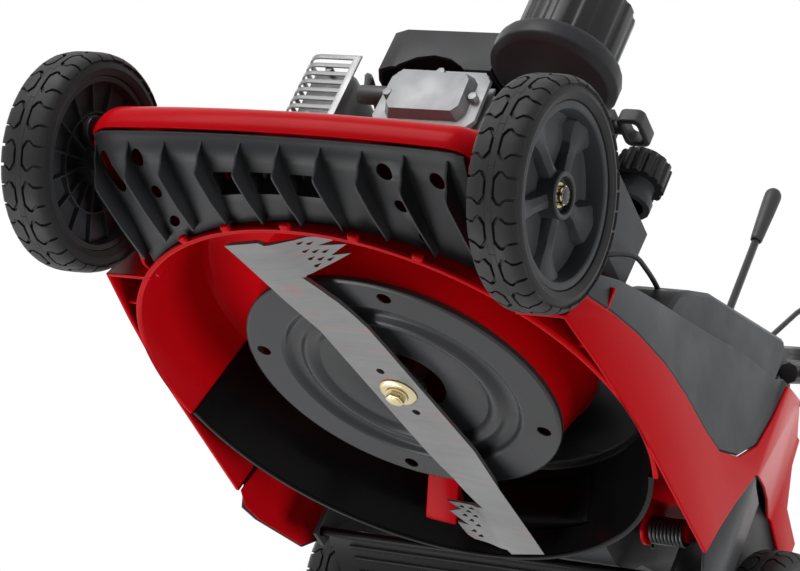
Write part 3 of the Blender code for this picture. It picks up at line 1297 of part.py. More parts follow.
def make_grip(axis):
    outline = [(GUIDE_X + GAP, -0.008), (GUIDE_X + 0.010, -0.008), (GUIDE_X + 0.016, -0.020),
               (GUIDE_X + 0.032, -0.020), (GUIDE_X + 0.036, -0.015), (GUIDE_X + 0.036, 0.015),
               (GUIDE_X + 0.032, 0.020), (GUIDE_X + 0.016, 0.020), (GUIDE_X + 0.010, 0.008),
               (GUIDE_X + GAP, 0.008)]
    bm = flat([outline], high(GRIP_Z - 0.0085), high(GRIP_Z + 0.0085))
    body = piece("starter_grip", bevelled(bm, 0.0025, 1, 60), SOFT_RUBBER, axis)
    cut(body, rod(0.0038, GUIDE_X - 0.01, GUIDE_X + 0.060, "X", (0, 0, high(GRIP_Z)), 8))


def make_muffler():
    low, top = MUFFLER_BOX
    shape = box((low[0], low[1], high(low[2])), (top[0], top[1], high(top[2])))
    body = piece("muffler", bevelled(shape, 0.010, 2, 60), CAST_METAL)
    join(body, rod(0.010, top[0] - 0.005, CYLINDER_X - HEAD_WIDTH / 2 - GAP, "X",
                   (0, EXHAUST_Y, high(CYLINDER_HEIGHT)), 12))
    for z in (0.232, 0.290):
        join(body, rod(0.004, MUFFLER_FRONT_Y + 0.002 + GAP, low[1] + 0.004, "Y",
                       (MUFFLER_X, 0, high(z)), 8))


def make_guard():
    front = MUFFLER_FRONT_Y
    outer = ([(-0.104, front)] + arc((-0.150, front + 0.018), 0.018, 270, 180, 5)
             + [(-0.168, -0.034)])
    inner = ([(-0.166, -0.034)] + arc((-0.150, front + 0.018), 0.016, 180, 270, 5)
             + [(-0.104, front + 0.002)])
    body = piece("muffler_guard", flat([outer + inner], high(0.214), high(0.306)), GUARD_METAL)
    pitch = 0.0105
    for i in range(GUARD_SLOTS):
        z = 0.2215 + pitch * i
        cut(body, box((-0.200, -0.200, high(z)), (-0.112, -0.048, high(z + 0.0055))))


def make_boot():
    x = CYLINDER_X - HEAD_WIDTH / 2
    body = piece("plug_boot", rod(0.0095, -0.080, x - GAP, "X", (0, -0.146, high(0.252)), 12), SOFT_RUBBER)
    route = [Vector((-0.074, -0.146, high(0.252))), Vector((-0.080, -0.146, high(0.270))),
             Vector((-0.088, -0.138, high(0.282))), Vector((-0.094, -0.120, high(0.288))),
             Vector((-0.100, -0.085, high(0.284)))]
    join(body, tube_shape(smooth_route(route, 4), 0.0035, 1))


def make_carburettor():
    low, top = CARB_BOX
    shape = box((low[0], low[1], high(low[2])), (top[0], top[1], high(top[2])))
    body = piece("carburettor", bevelled(shape, 0.005, 1, 60), CAST_METAL)
    join(body, rod(0.016, high(0.198), high(low[2] + 0.002), "Z", (0.080, -0.116, 0), 14))


def make_filter():
    centre = (FILTER_X, FILTER_Y, 0)
    base = FILTER_BASE
    top = base + 0.024
    piece("air_filter_base", turned(raised([
        (0.012, base), (0.055, base), (FILTER_RADIUS, base + 0.006), (FILTER_RADIUS, top - 0.006),
        (FILTER_RADIUS - 0.002, top), (0.012, top)]), FILTER_STEPS, "Z", centre), BLACK_PLASTIC)
    piece("air_filter_element", turned(raised([
        (0.026, top + GAP), (0.041, top + GAP), (0.041, top + 0.062), (0.026, top + 0.062)]), 20, "Z",
        centre), SOFT_RUBBER)
    axis = pivot("filter_cover_axis", (FILTER_X, FILTER_Y, high(top)))
    low = top + GAP
    outline = []
    for i in range(FILTER_STEPS):
        angle = math.radians(360 * (i + 0.5) / FILTER_STEPS)
        reach = FILTER_COVER_RADIUS - (0.0025 if i % 2 else 0.0)
        outline.append((FILTER_X + reach * math.cos(angle), FILTER_Y + reach * math.sin(angle)))
    shape = flat([outline], high(low), high(low + FILTER_COVER_HEIGHT - 0.006))
    body = piece("air_filter_cover", shape, BLACK_PLASTIC, axis)
    crown = turned(raised([
        (0, low + FILTER_COVER_HEIGHT), (0.040, low + FILTER_COVER_HEIGHT),
        (0.0465, low + FILTER_COVER_HEIGHT - 0.0065), (0, low + FILTER_COVER_HEIGHT - 0.0065)]),
        FILTER_STEPS, "Z", centre, False)
    join(body, crown)
    cut(body, rod(0.044, high(low - 0.005), high(low + FILTER_COVER_HEIGHT - 0.009), "Z", centre, 24))


def make_tank():
    bm = bevelled(flat([raised(TANK_LINE)], TANK_Y[0], TANK_Y[1], "XZ"), 0.005, 1, 75)
    body = piece("fuel_tank", bm, GREY_PLASTIC)
    join(body, box((CRANKCASE_RADIUS + GAP, -0.022, high(0.166)), (0.112, 0.010, high(0.184))))
    join(body, rod(0.0212, high(TANK_TOP - 0.001), high(0.246), "Z", (CAP_X, CAP_Y, 0), 16))
    join(body, rod(0.0175, high(0.245), high(NECK_TOP + 0.020), "Z", (CAP_X, CAP_Y, 0), 16))
    cut(body, rod(0.0145, high(0.200), high(NECK_TOP + 0.030), "Z", (CAP_X, CAP_Y, 0), 12))


def make_cap(axis):
    outline = []
    for i in range(CAP_STEPS):
        angle = math.radians(360 * i / CAP_STEPS)
        reach = CAP_RADIUS - (0.0016 if i % 2 else 0.0)
        outline.append((CAP_X + reach * math.cos(angle), CAP_Y + reach * math.sin(angle)))
    bm = flat([outline], high(NECK_TOP), high(NECK_TOP + CAP_HEIGHT - 0.003))
    body = piece("fuel_cap", bm, BLACK_PLASTIC, axis)
    top = NECK_TOP + CAP_HEIGHT
    join(body, turned(raised([(0, top), (0.0225, top), (0.0245, top - 0.0035), (0, top - 0.0035)]), 20,
                      "Z", (CAP_X, CAP_Y, 0), False))
    cut(body, rod(0.0175 + RUNNING, high(NECK_TOP - 0.010), high(NECK_TOP + 0.020 + RUNNING), "Z",
                  (CAP_X, CAP_Y, 0), 20))


def make_dipstick(axis):
    top = DIPSTICK_TOP
    centre = (DIPSTICK_X, DIPSTICK_Y, 0)
    piece("dipstick", turned(raised([
        (0, top + 0.024), (0.008, top + 0.024), (0.011, top + 0.020), (0.011, top + GAP),
        (0.0028, top + GAP), (0.0028, 0.162), (0, 0.162)]), 12, "Z", centre, False), BLACK_PLASTIC, axis)


def cable_route():
    return smooth_route([Vector((x, y, high(z))) for x, y, z in CABLE_ROUTE], 3)


def make_cable():
    tube("control_cable", cable_route(), CABLE_RADIUS, SOFT_RUBBER, None, 1)


def along_handle(x, reach, lift=0.0):
    """Place on the handle's slope: across, up the slope and square to it."""
    y = HANDLE_PIVOT_Y + reach * math.cos(HANDLE_LEAN) - lift * math.sin(HANDLE_LEAN)
    z = HANDLE_PIVOT_HEIGHT + reach * math.sin(HANDLE_LEAN) + lift * math.cos(HANDLE_LEAN)
    return Vector((x, y, high(z)))


def cross_rod(radius, low, top, place, steps=12):
    return rod(radius, low, top, "X", (0, place.y, place.z), steps)


def make_lower_handle(axis):
    def side_tube(side):
        points = [along_handle(side * LOWER_X, reach) for reach in (-0.014, LOWER_LENGTH)]
        return tube_shape(points, HANDLE_TUBE)
    body = piece("lower_handle", side_tube(1), BLACK_PAINT, axis)
    join(body, side_tube(-1))
    join(body, cross_rod(0.008, -LOWER_X, LOWER_X, along_handle(0, 0.215), 10))
    for reach, bore in ((0.0, 0.0046), (FOLD_REACH, BOLT_SHANK + GAP * 2)):
        cut(body, cross_rod(bore, -LOWER_X - 0.024, LOWER_X + 0.024, along_handle(0, reach)))


def loop_points(half, foot, head, corner):
    """Points of a bar that runs up one side, across and down the other."""
    side = [(half, foot)]
    side += arc((half - corner, head - corner), corner, 0, 90, 6)
    return side + [(-x, reach) for x, reach in reversed(side)]


def make_upper_handle(axis):
    points = [along_handle(x, reach)
              for x, reach in loop_points(UPPER_X, LOWER_LENGTH - 0.045, HANDLE_END, UPPER_CORNER)]
    body = piece("upper_handle", tube_shape(points, HANDLE_TUBE), BLACK_PAINT, axis)
    knob_end = LOWER_X + 0.024
    cut(body, cross_rod(BOLT_SHANK + GAP * 2, -knob_end, knob_end, along_handle(0, FOLD_REACH)))
    bore_end = UPPER_X - 0.0015
    for reach in (BAIL_REACH, DRIVE_REACH):
        cut(body, cross_rod(BAR_TUBE + RUNNING, -bore_end, bore_end, along_handle(0, reach)))


def make_bar(name, axis, half, foot, head, lean):
    """Wire bar held in the upper handle, swung up or down from the handle's slope."""
    points = [along_handle(x, reach) for x, reach in loop_points(half, foot, head, 0.045)]
    first = points[0].copy()
    last = points[-1].copy()
    centre = along_handle(0, foot)
    turn = Matrix.Rotation(math.radians(lean), 3, "X")
    turned_points = [centre + turn @ (point - centre) for point in points]
    for place, end in ((0, Vector((BAR_END, first.y, first.z))), (-1, Vector((-BAR_END, last.y, last.z)))):
        corner = turned_points[place]
        inside = corner + (turned_points[1 if place == 0 else -2] - corner).normalized() * 0.004
        outward = corner + (end - corner).normalized() * 0.004
        if place == 0:
            turned_points = [end, outward, inside] + turned_points[1:]
        else:
            turned_points = turned_points[:-1] + [inside, outward, end]
    tube(name, turned_points, BAR_TUBE, BRIGHT_STEEL, axis, 1)


def make_fold_knob(name, side):
    place = along_handle(0, FOLD_REACH)
    axis = pivot(name + "_axis", (side * (LOWER_X + 0.020), place.y, place.z))
    low = LOWER_X + HANDLE_TUBE + GAP
    outline = []
    for i in range(20):
        angle = math.radians(360 * i / 20)
        reach = 0.0155 + 0.0025 * math.cos(KNOB_LOBES * angle)
        outline.append((place.y + reach * math.cos(angle), place.z + reach * math.sin(angle)))
    bm = bevelled(flat([outline], low + 0.004, low + 0.018, "YZ"), 0.002, 1, 60)
    body = piece(name, sided(bm, side), BLACK_PLASTIC, axis)
    for radius, start, end in ((0.008, low, low + 0.005), (BOLT_SHANK, UPPER_X - 0.016, low + 0.001)):
        ends = sorted((side * start, side * end))
        join(body, cross_rod(radius, ends[0], ends[1], place, 10))
    ends = sorted((side * (UPPER_X - 0.0165), side * (UPPER_X - HANDLE_TUBE - GAP)))
    join(body, cross_rod(0.0060, ends[0], ends[1], place, 6))


def main():
    make_deck_shell()
    make_front_baffle()
    make_chamber_liner()
    make_discharge_door(pivot("door_axis", (0, DOOR_HINGE_Y, high(DOOR_HINGE_HEIGHT))))
    make_discharge_tunnel()
    make_rear_frame()
    make_rear_door(pivot("rear_door_axis", rear_hinge()))
    make_trail_shield(pivot("shield_axis", (0, SHIELD_LINE[0][0], high(SHIELD_LINE[0][1]))))
    make_shield_spring()
    for hand, side in (("left", 1), ("right", -1)):
        make_arch_cover(side, "arch_cover_" + hand)
        make_side_cover(side, "side_cover_" + hand)
    make_console()
    make_lever(pivot("lever_axis", (LEVER_X, LEVER_Y, high(LEVER_PIVOT_HEIGHT))))
    make_wheels()
    make_arms()
    make_disc()
    spin = pivot("crank_axis", (0, 0, high(BLADE_HEIGHT)))
    make_blade(spin)
    make_blade_bolts(spin)
    make_crankshaft(spin)
    make_flywheel(spin)
    make_drive_belt()
    make_gearbox()
    make_rear_shaft(pivot("rear_shaft_axis", (0, pivot_y(REAR_AXLE_Y), AXLE_HEIGHT)))
    make_crankcase()
    make_cylinder()
    make_valve_cover()
    make_shroud()
    make_recoil()
    make_grip(pivot("grip_axis", (GUIDE_X, 0, high(GRIP_Z))))
    make_muffler()
    make_guard()
    make_boot()
    make_carburettor()
    make_filter()
    make_tank()
    make_cap(pivot("cap_axis", (CAP_X, CAP_Y, high(NECK_TOP))))
    make_dipstick(pivot("dipstick_axis", (DIPSTICK_X, DIPSTICK_Y, high(DIPSTICK_TOP))))
    make_cable()
    make_lower_handle(pivot("handle_pivot", along_handle(0, 0)))
    fold = pivot("fold_axis", along_handle(0, FOLD_REACH))
    make_upper_handle(fold)
    make_bar("bail_bar", pivot("bail_axis", along_handle(0, BAIL_REACH)), BAIL_X, BAIL_REACH,
             HANDLE_END - 0.022, BAIL_REST_ANGLE)
    make_bar("drive_bar", pivot("drive_axis", along_handle(0, DRIVE_REACH)), DRIVE_X, DRIVE_REACH,
             HANDLE_END - 0.040, DRIVE_REST_ANGLE)
    make_fold_knob("fold_knob_left", 1)
    make_fold_knob("fold_knob_right", -1)
    bpy.context.view_layer.update()


main()
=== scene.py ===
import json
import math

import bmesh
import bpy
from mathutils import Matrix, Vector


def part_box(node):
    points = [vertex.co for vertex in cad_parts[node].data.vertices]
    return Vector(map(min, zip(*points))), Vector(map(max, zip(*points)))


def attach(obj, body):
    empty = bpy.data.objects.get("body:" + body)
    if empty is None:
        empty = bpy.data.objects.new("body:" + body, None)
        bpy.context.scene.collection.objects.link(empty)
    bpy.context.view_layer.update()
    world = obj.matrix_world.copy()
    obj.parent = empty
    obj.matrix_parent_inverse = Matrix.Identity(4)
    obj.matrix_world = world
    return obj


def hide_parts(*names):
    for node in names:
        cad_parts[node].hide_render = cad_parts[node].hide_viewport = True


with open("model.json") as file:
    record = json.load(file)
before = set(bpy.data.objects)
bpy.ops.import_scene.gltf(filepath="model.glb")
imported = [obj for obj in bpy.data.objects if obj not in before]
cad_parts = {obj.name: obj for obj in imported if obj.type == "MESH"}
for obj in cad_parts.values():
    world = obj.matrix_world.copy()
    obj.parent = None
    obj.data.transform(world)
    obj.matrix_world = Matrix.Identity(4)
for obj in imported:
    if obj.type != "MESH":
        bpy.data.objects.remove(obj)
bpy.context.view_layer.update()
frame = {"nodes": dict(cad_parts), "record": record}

# %% [markdown]
# # A petrol lawn mower seen from below
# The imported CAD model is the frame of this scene: every piece made here sits where a CAD node sits
# and rides on the body that carries it. The photograph looks up at the open deck, so most of the
# work goes into the deck, the blade, the front grille and the wheels. The engine's caps, the grips
# and the shield's spring are made as well. The rest of the machine gets copies of its solids with
# rounded edges, because they already have the right shape.

SKIRT_LEVEL = 0.0495
BLADE_CENTRE = sum(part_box("blade"), Vector()) / 2
ORIGIN = Vector((0.0, BLADE_CENTRE.y, SKIRT_LEVEL))
print("places are given from the blade's axis at the rim:", [round(v, 5) for v in ORIGIN])


# %% [markdown]
# ## Modelling tools
# A mower is made of turned, pressed, moulded and bent parts, so a handful of tools makes nearly all
# of it: a lathe for round parts, a plate cutter for sheet parts, and a flexible sheet for what is
# rolled or draped. Each of them starts from one Blender operator. A tool that only one piece needs,
# such as the tube bender of the spring, comes with that piece. Places are given from the blade's
# axis and the deck's rim, which is how a designer would measure a deck.

# %% Planes, arcs and tables
PLANES = {
    "XY": Matrix.Identity(4),
    "YZ": Matrix(((0, 0, 1, 0), (1, 0, 0, 0), (0, 1, 0, 0), (0, 0, 0, 1))),
    "XZ": Matrix(((1, 0, 0, 0), (0, 0, 1, 0), (0, 1, 0, 0), (0, 0, 0, 1))),
}
TURNS = {
    "X": Matrix.Rotation(math.radians(90), 4, "Y"),
    "Z": Matrix.Identity(4),
}


def arc(centre, radius, start, end, count):
    """Points on an arc, from one angle to another in degrees."""
    angles = [math.radians(start + (end - start) * i / (count - 1)) for i in range(count)]
    return [(centre[0] + radius * math.cos(a), centre[1] + radius * math.sin(a)) for a in angles]


def circle(centre, radius, count):
    """A closed ring of points, without the last one that would meet the first."""
    return arc(centre, radius, 0, 360, count + 1)[:-1]


def polar(radius, degrees):
    """A place in the plan, from its distance and its direction."""
    angle = math.radians(degrees)
    return Vector((radius * math.cos(angle), radius * math.sin(angle), 0.0))


def lookup(points, at):
    """Value on a line of (place, value) pairs."""
    if at <= points[0][0]:
        return points[0][1]
    for (low, first), (high, last) in zip(points, points[1:]):
        if at <= high:
            return first + (last - first) * (at - low) / (high - low)
    return points[-1][1]


# %% Clean normals and rounded edges
def tidy_normals(bm):
    """Merge points that coincide, then turn every face outwards."""
    bmesh.ops.remove_doubles(bm, verts=bm.verts, dist=1e-6)
    bmesh.ops.recalc_face_normals(bm, faces=bm.faces)
    return bm


def soften(bm, width, segments=2, angle=35.0):
    """Round every edge that is sharper than an angle in degrees."""
    sharp = [e for e in bm.edges
             if len(e.link_faces) == 2 and e.calc_face_angle(0) > math.radians(angle)]
    bmesh.ops.bevel(bm, geom=sharp, offset=width, offset_type="OFFSET", segments=segments,
                    profile=0.5, affect="EDGES", clamp_overlap=True, material=-1)
    return bm


# %% Lathe and round bars
def spun(profile, steps=96, axis="Z", centre=(0, 0, 0), closed=False, sweep=360.0, start=0.0):
    """Turn a line of (radius, height) points round an axis, as on a lathe."""
    bm = bmesh.new()
    points = [bm.verts.new((radius, 0, height)) for radius, height in profile]
    pairs = list(zip(points, points[1:])) + ([(points[-1], points[0])] if closed else [])
    line = [bm.edges.new(pair) for pair in pairs]
    bmesh.ops.rotate(bm, verts=points, matrix=Matrix.Rotation(math.radians(start), 3, "Z"))
    bmesh.ops.spin(bm, geom=points + line, cent=(0, 0, 0), axis=(0, 0, 1),
                   angle=math.radians(sweep), steps=steps, use_merge=sweep >= 360)
    if sweep < 360 and closed:
        bmesh.ops.holes_fill(bm, edges=[e for e in bm.edges if e.is_boundary], sides=0)
    bmesh.ops.transform(bm, matrix=Matrix.Translation(centre) @ TURNS[axis], verts=bm.verts)
    return tidy_normals(bm)


def rod(radius, low, top, axis="Z", centre=(0, 0, 0), steps=24, chamfer=0.0):
    """A round bar along an axis; centre gives its other two places."""
    chamfer = min(chamfer, radius * 0.5)
    profile = [(0, low), (radius - chamfer, low)]
    profile += [(radius, low + chamfer), (radius, top - chamfer)] if chamfer else []
    profile += [(radius - chamfer, top), (0, top)]
    return spun(profile, steps, axis, centre)


# %% Plates and blocks
def slab(outlines, low, top, plane="XY"):
    """A plate: its outline and holes are filled, then pulled up to its thickness."""
    bm = bmesh.new()
    for outline in outlines:
        corners = [bm.verts.new((u, v, low)) for u, v in outline]
        for near, far in zip(corners, corners[1:] + corners[:1]):
            bm.edges.new((near, far))
    bmesh.ops.triangle_fill(bm, edges=bm.edges[:], use_beauty=True)
    grown = bmesh.ops.extrude_face_region(bm, geom=bm.faces[:])["geom"]
    bmesh.ops.translate(bm, verts=[v for v in grown if isinstance(v, bmesh.types.BMVert)],
                        vec=(0, 0, top - low))
    bmesh.ops.dissolve_limit(bm, angle_limit=0.01, verts=bm.verts, edges=bm.edges)
    bmesh.ops.transform(bm, matrix=PLANES[plane], verts=bm.verts)
    return tidy_normals(bm)


def block(low, top):
    """A box from its lowest corner to its highest."""
    bm = bmesh.new()
    size = [b - a for a, b in zip(low, top)]
    middle = [(a + b) / 2 for a, b in zip(low, top)]
    bmesh.ops.create_cube(bm, size=1,
                          matrix=Matrix.Translation(middle) @ Matrix.Diagonal((*size, 1)))
    return bm


# %% Press lines across a plate
def creased(bm, axis, places):
    """Cut a plate right across at some places along X or Y, so that it can bend there."""
    for place in places:
        point, normal = ((place, 0, 0), (1, 0, 0)) if axis == "X" else ((0, place, 0), (0, 1, 0))
        bmesh.ops.bisect_plane(bm, geom=bm.verts[:] + bm.edges[:] + bm.faces[:], plane_co=point,
                               plane_no=normal)
    return bm


def both_ways(places):
    """Each place on one side of the middle and on the other."""
    return [side * place for place in places for side in (1, -1)]


def no_large_faces(bm):
    """Split faces of more than four corners, because they can't follow a bend."""
    bmesh.ops.triangulate(bm, faces=[f for f in bm.faces if len(f.verts) > 4])
    return bm


# %% Sheets and their wall
def sheet(columns, rows, place):
    """A flexible grid; place(u, v) gives each point for shares from 0 to 1."""
    bm = bmesh.new()
    bmesh.ops.create_grid(bm, x_segments=columns, y_segments=rows, size=0.5)
    for vert in bm.verts:
        vert.co = place(vert.co.x + 0.5, vert.co.y + 0.5)
    return bm


def walled(bm, thickness, toward):
    """Give a sheet its wall, on the side that faces a direction."""
    tidy_normals(bm)
    middle = sum((f.normal * f.calc_area() for f in bm.faces), Vector())
    if middle.dot(Vector(toward)) > 0:
        bmesh.ops.reverse_faces(bm, faces=bm.faces)
    bmesh.ops.solidify(bm, geom=bm.faces[:], thickness=thickness)
    return bm


# %% Turning, mirroring and joining
def turned_about(bm, degrees, axis="Z"):
    bmesh.ops.rotate(bm, cent=(0, 0, 0), verts=bm.verts,
                     matrix=Matrix.Rotation(math.radians(degrees), 3, axis))
    return bm


def mirrored(bm):
    """The same part for the other side of the mower."""
    bmesh.ops.scale(bm, vec=(-1, 1, 1), verts=bm.verts)
    bmesh.ops.reverse_faces(bm, faces=bm.faces)
    return bm


def sided(bm, side):
    """The part as drawn for the left side (1), or mirrored for the right side (-1)."""
    return bm if side > 0 else mirrored(bm)


def merged(*shapes):
    """Several shapes as one mesh."""
    bm = shapes[0]
    for shape in shapes[1:]:
        carrier = bpy.data.meshes.new("carrier")
        shape.to_mesh(carrier)
        shape.free()
        bm.from_mesh(carrier)
        bpy.data.meshes.remove(carrier)
    return bm


# %% [markdown]
# ## Materials
# Every finish is procedural and reads Object coordinates in metres, so a grain keeps its real size
# on each piece. Effects that several finishes share are node groups: a cloudy tone, a fine relief
# for moulded and painted surfaces, and a patchy tint on the edges, which shows rubbed edges on most
# finishes and a painted highlight on the red paint. The groups give colours, heights and masks only,
# and each finish keeps its own shader.

# %% Nodes and groups
def new_group(name, inputs, outputs):
    group = bpy.data.node_groups.new(name, "ShaderNodeTree")
    for label, kind, value in inputs:
        socket = group.interface.new_socket(name=label, in_out="INPUT", socket_type=kind)
        socket.default_value = value
    for label, kind in outputs:
        group.interface.new_socket(name=label, in_out="OUTPUT", socket_type=kind)
    return group, group.nodes.new("NodeGroupInput"), group.nodes.new("NodeGroupOutput")


def add(tree, kind, links=(), **values):
    """A new node; values set its properties, links join its sockets to others."""
    node = tree.nodes.new(kind)
    for label, value in values.items():
        setattr(node, label, value)
    for socket, source in links:
        if isinstance(source, bpy.types.NodeSocket):
            tree.links.new(source, node.inputs[socket])
        else:
            node.inputs[socket].default_value = source
    return node


def blended(tree, share, first, second):
    """A blend of two colours, which are sockets 6 and 7 of a Mix node; the result is socket 2."""
    mix = add(tree, "ShaderNodeMix", [("Factor", share), (6, first), (7, second)],
              data_type="RGBA")
    return mix.outputs[2]


FLOAT, COLOUR = "NodeSocketFloat", "NodeSocketColor"


# %% Cloudy tone
def make_tone_group():
    """Two colours in soft clouds, as paint and moulded plastic have."""
    group, start, end = new_group(
        "cloudy_tone", [("First", COLOUR, (1, 1, 1, 1)), ("Second", COLOUR, (0, 0, 0, 1)),
                        ("Scale", FLOAT, 10.0), ("Low", FLOAT, 0.35), ("High", FLOAT, 0.65)],
        [("Color", COLOUR), ("Mask", FLOAT)])
    place = add(group, "ShaderNodeTexCoord")
    cloud = add(group, "ShaderNodeTexNoise", [("Vector", place.outputs["Object"]),
                                              ("Scale", start.outputs["Scale"]), ("Detail", 6.0)])
    share = add(group, "ShaderNodeMapRange", [("Value", cloud.outputs["Fac"]),
                                              ("From Min", start.outputs["Low"]),
                                              ("From Max", start.outputs["High"])])
    mix = blended(group, share.outputs["Result"], start.outputs["First"], start.outputs["Second"])
    group.links.new(mix, end.inputs["Color"])
    group.links.new(share.outputs["Result"], end.inputs["Mask"])
    return group


# %% Fine relief
def make_relief_group():
    """Fine and coarse noise as one height; sockets 2 and 3 of a Mix node are its numbers."""
    group, start, end = new_group(
        "fine_relief", [("Fine Scale", FLOAT, 900.0), ("Coarse Scale", FLOAT, 60.0),
                        ("Coarse Share", FLOAT, 0.3)],
        [("Height", FLOAT)])
    place = add(group, "ShaderNodeTexCoord")
    fine = add(group, "ShaderNodeTexNoise", [("Vector", place.outputs["Object"]),
                                             ("Scale", start.outputs["Fine Scale"]),
                                             ("Detail", 3.0)])
    coarse = add(group, "ShaderNodeTexNoise", [("Vector", place.outputs["Object"]),
                                               ("Scale", start.outputs["Coarse Scale"]),
                                               ("Detail", 2.0)])
    both = add(group, "ShaderNodeMix", [("Factor", start.outputs["Coarse Share"]),
                                        (2, fine.outputs["Fac"]), (3, coarse.outputs["Fac"])])
    group.links.new(both.outputs[0], end.inputs["Height"])
    return group


# %% Edges: rubbed, and on the red paint a painted highlight
def make_edge_wear_and_highlight_group():
    """Edges where a rounded normal leaves the real one, broken up by noise."""
    group, start, end = new_group(
        "edge_wear_and_highlight", [("Radius", FLOAT, 0.0012), ("Scale", FLOAT, 120.0), ("Amount", FLOAT, 0.5)],
        [("Mask", FLOAT)])
    rounded = add(group, "ShaderNodeBevel", [("Radius", start.outputs["Radius"])], samples=4)
    real = add(group, "ShaderNodeNewGeometry")
    same = add(group, "ShaderNodeVectorMath", [(0, rounded.outputs["Normal"]),
                                               (1, real.outputs["Normal"])],
               operation="DOT_PRODUCT")
    edge = add(group, "ShaderNodeMapRange", [("Value", same.outputs["Value"]), ("From Min", 0.995),
                                             ("From Max", 0.90)])
    place = add(group, "ShaderNodeTexCoord")
    cloud = add(group, "ShaderNodeTexNoise", [("Vector", place.outputs["Object"]),
                                              ("Scale", start.outputs["Scale"]), ("Detail", 4.0)])
    patch = add(group, "ShaderNodeMapRange", [("Value", cloud.outputs["Fac"]), ("From Min", 0.42),
                                              ("From Max", 0.62)])
    patchy_edge = add(group, "ShaderNodeMath", [(0, edge.outputs["Result"]), (1, patch.outputs["Result"])],
               operation="MULTIPLY")
    amount = add(group, "ShaderNodeMath", [(0, patchy_edge.outputs[0]), (1, start.outputs["Amount"])],
                 operation="MULTIPLY")
    group.links.new(amount.outputs[0], end.inputs["Mask"])
    return group


TONE = make_tone_group()
RELIEF = make_relief_group()
EDGE_WEAR_AND_HIGHLIGHT = make_edge_wear_and_highlight_group()
print("node groups:", [group.name for group in (TONE, RELIEF, EDGE_WEAR_AND_HIGHLIGHT)])


# %% [markdown]
# A finish is described by a few numbers: two close colours, how rough it is and by how much that
# varies, its relief, and the tint that its edges take: rubbed edges on most finishes, and a painted
# highlight on the red paint. One function builds them all, so that paints, plastics and metals
# differ by their values and not by their wiring.

# %% Building one finish
MATERIALS = {}


def finish(name, slot, first, second, rough, scale=14.0, relief=None, edge_tint=None, **shader):
    """A named finish: rough is (least, most), relief is (fine scale, coarse scale, share of the
    coarse, depth in mm), and the edges' tint is (colour, amount), which shows rubbed edges on most
    finishes and a painted highlight on the red paint."""
    look = bpy.data.materials.new(name)
    look.use_nodes = True
    tree = look.node_tree
    surface = tree.nodes["Principled BSDF"]
    for label, value in shader.items():
        surface.inputs[label.replace("_", " ")].default_value = value
    tone = add(tree, "ShaderNodeGroup", node_tree=TONE)
    tone.inputs["First"].default_value = (*first, 1)
    tone.inputs["Second"].default_value = (*second, 1)
    tone.inputs["Scale"].default_value = scale
    colour = tone.outputs["Color"]
    roughness = add(tree, "ShaderNodeMapRange", [("Value", tone.outputs["Mask"]),
                                                 ("To Min", rough[0]), ("To Max", rough[1])])
    if edge_tint:
        edge = add(tree, "ShaderNodeGroup", node_tree=EDGE_WEAR_AND_HIGHLIGHT)
        edge.inputs["Amount"].default_value = edge_tint[1]
        colour = blended(tree, edge.outputs["Mask"], colour, (*edge_tint[0], 1))
    if relief:
        fine, coarse, share, depth = relief
        height = add(tree, "ShaderNodeGroup", node_tree=RELIEF)
        height.inputs["Fine Scale"].default_value = fine
        height.inputs["Coarse Scale"].default_value = coarse
        height.inputs["Coarse Share"].default_value = share
        bump = add(tree, "ShaderNodeBump", [("Height", height.outputs["Height"]), ("Strength", 1.0),
                                            ("Distance", depth / 1000)])
        tree.links.new(bump.outputs["Normal"], surface.inputs["Normal"])
    tree.links.new(colour, surface.inputs["Base Color"])
    tree.links.new(roughness.outputs["Result"], surface.inputs["Roughness"])
    MATERIALS[name] = look
    return look


# %% [markdown]
# The casting is painted red, and its edges get a lighter, pinker red in patches: a painted highlight
# along them. Arms and disc have a satin black paint, and the handle a darker one. Black and grey
# mouldings have a fine grain that keeps them dull, while the liner is smooth so that grass slides
# off. A low specular level keeps large lamps from turning dark plastic and deep red pale. Each line
# below is one finish: its two close colours, its least and most roughness, the size of its clouds,
# its relief and the tint of its edges.

# %% Paints of the deck, the arms and the handle, and the plastics
# On the red paint the edges' tint is a lighter, pinker red: a painted highlight along the edges.
finish("deck_red_paint", "red_paint", (0.58, 0.0035, 0.009), (0.53, 0.003, 0.007), (0.20, 0.27),
       9.0, (700.0, 90.0, 0.7, 0.05), ((0.62, 0.05, 0.05), 0.35), Specular_IOR_Level=0.035)
finish("grained_black_plastic", "black_plastic", (0.036, 0.037, 0.040), (0.033, 0.034, 0.036),
       (0.36, 0.46), 20.0, (1400.0, 300.0, 0.3, 0.10), ((0.085, 0.087, 0.09), 0.5),
       Specular_IOR_Level=0.14)
finish("gloss_black_plastic", "gloss_plastic", (0.0045, 0.0045, 0.005), (0.007, 0.007, 0.008),
       (0.14, 0.22), 12.0, (500.0, 60.0, 0.6, 0.03), Specular_IOR_Level=0.06)
finish("moulded_grey_plastic", "grey_plastic", (0.048, 0.050, 0.054), (0.043, 0.045, 0.049),
       (0.38, 0.48), 24.0, (1600.0, 240.0, 0.25, 0.08), ((0.11, 0.115, 0.12), 0.5),
       Specular_IOR_Level=0.16)
finish("satin_black_paint", "black_paint", (0.030, 0.031, 0.034), (0.026, 0.027, 0.029),
       (0.22, 0.32), 10.0, (800.0, 120.0, 0.6, 0.03), ((0.14, 0.14, 0.15), 0.35),
       Specular_IOR_Level=0.22)
finish("handle_black_paint", "handle_paint", (0.016, 0.016, 0.018), (0.020, 0.020, 0.022),
       (0.26, 0.36), 16.0, (900.0, 200.0, 0.4, 0.04), ((0.12, 0.12, 0.12), 0.3),
       Specular_IOR_Level=0.25)

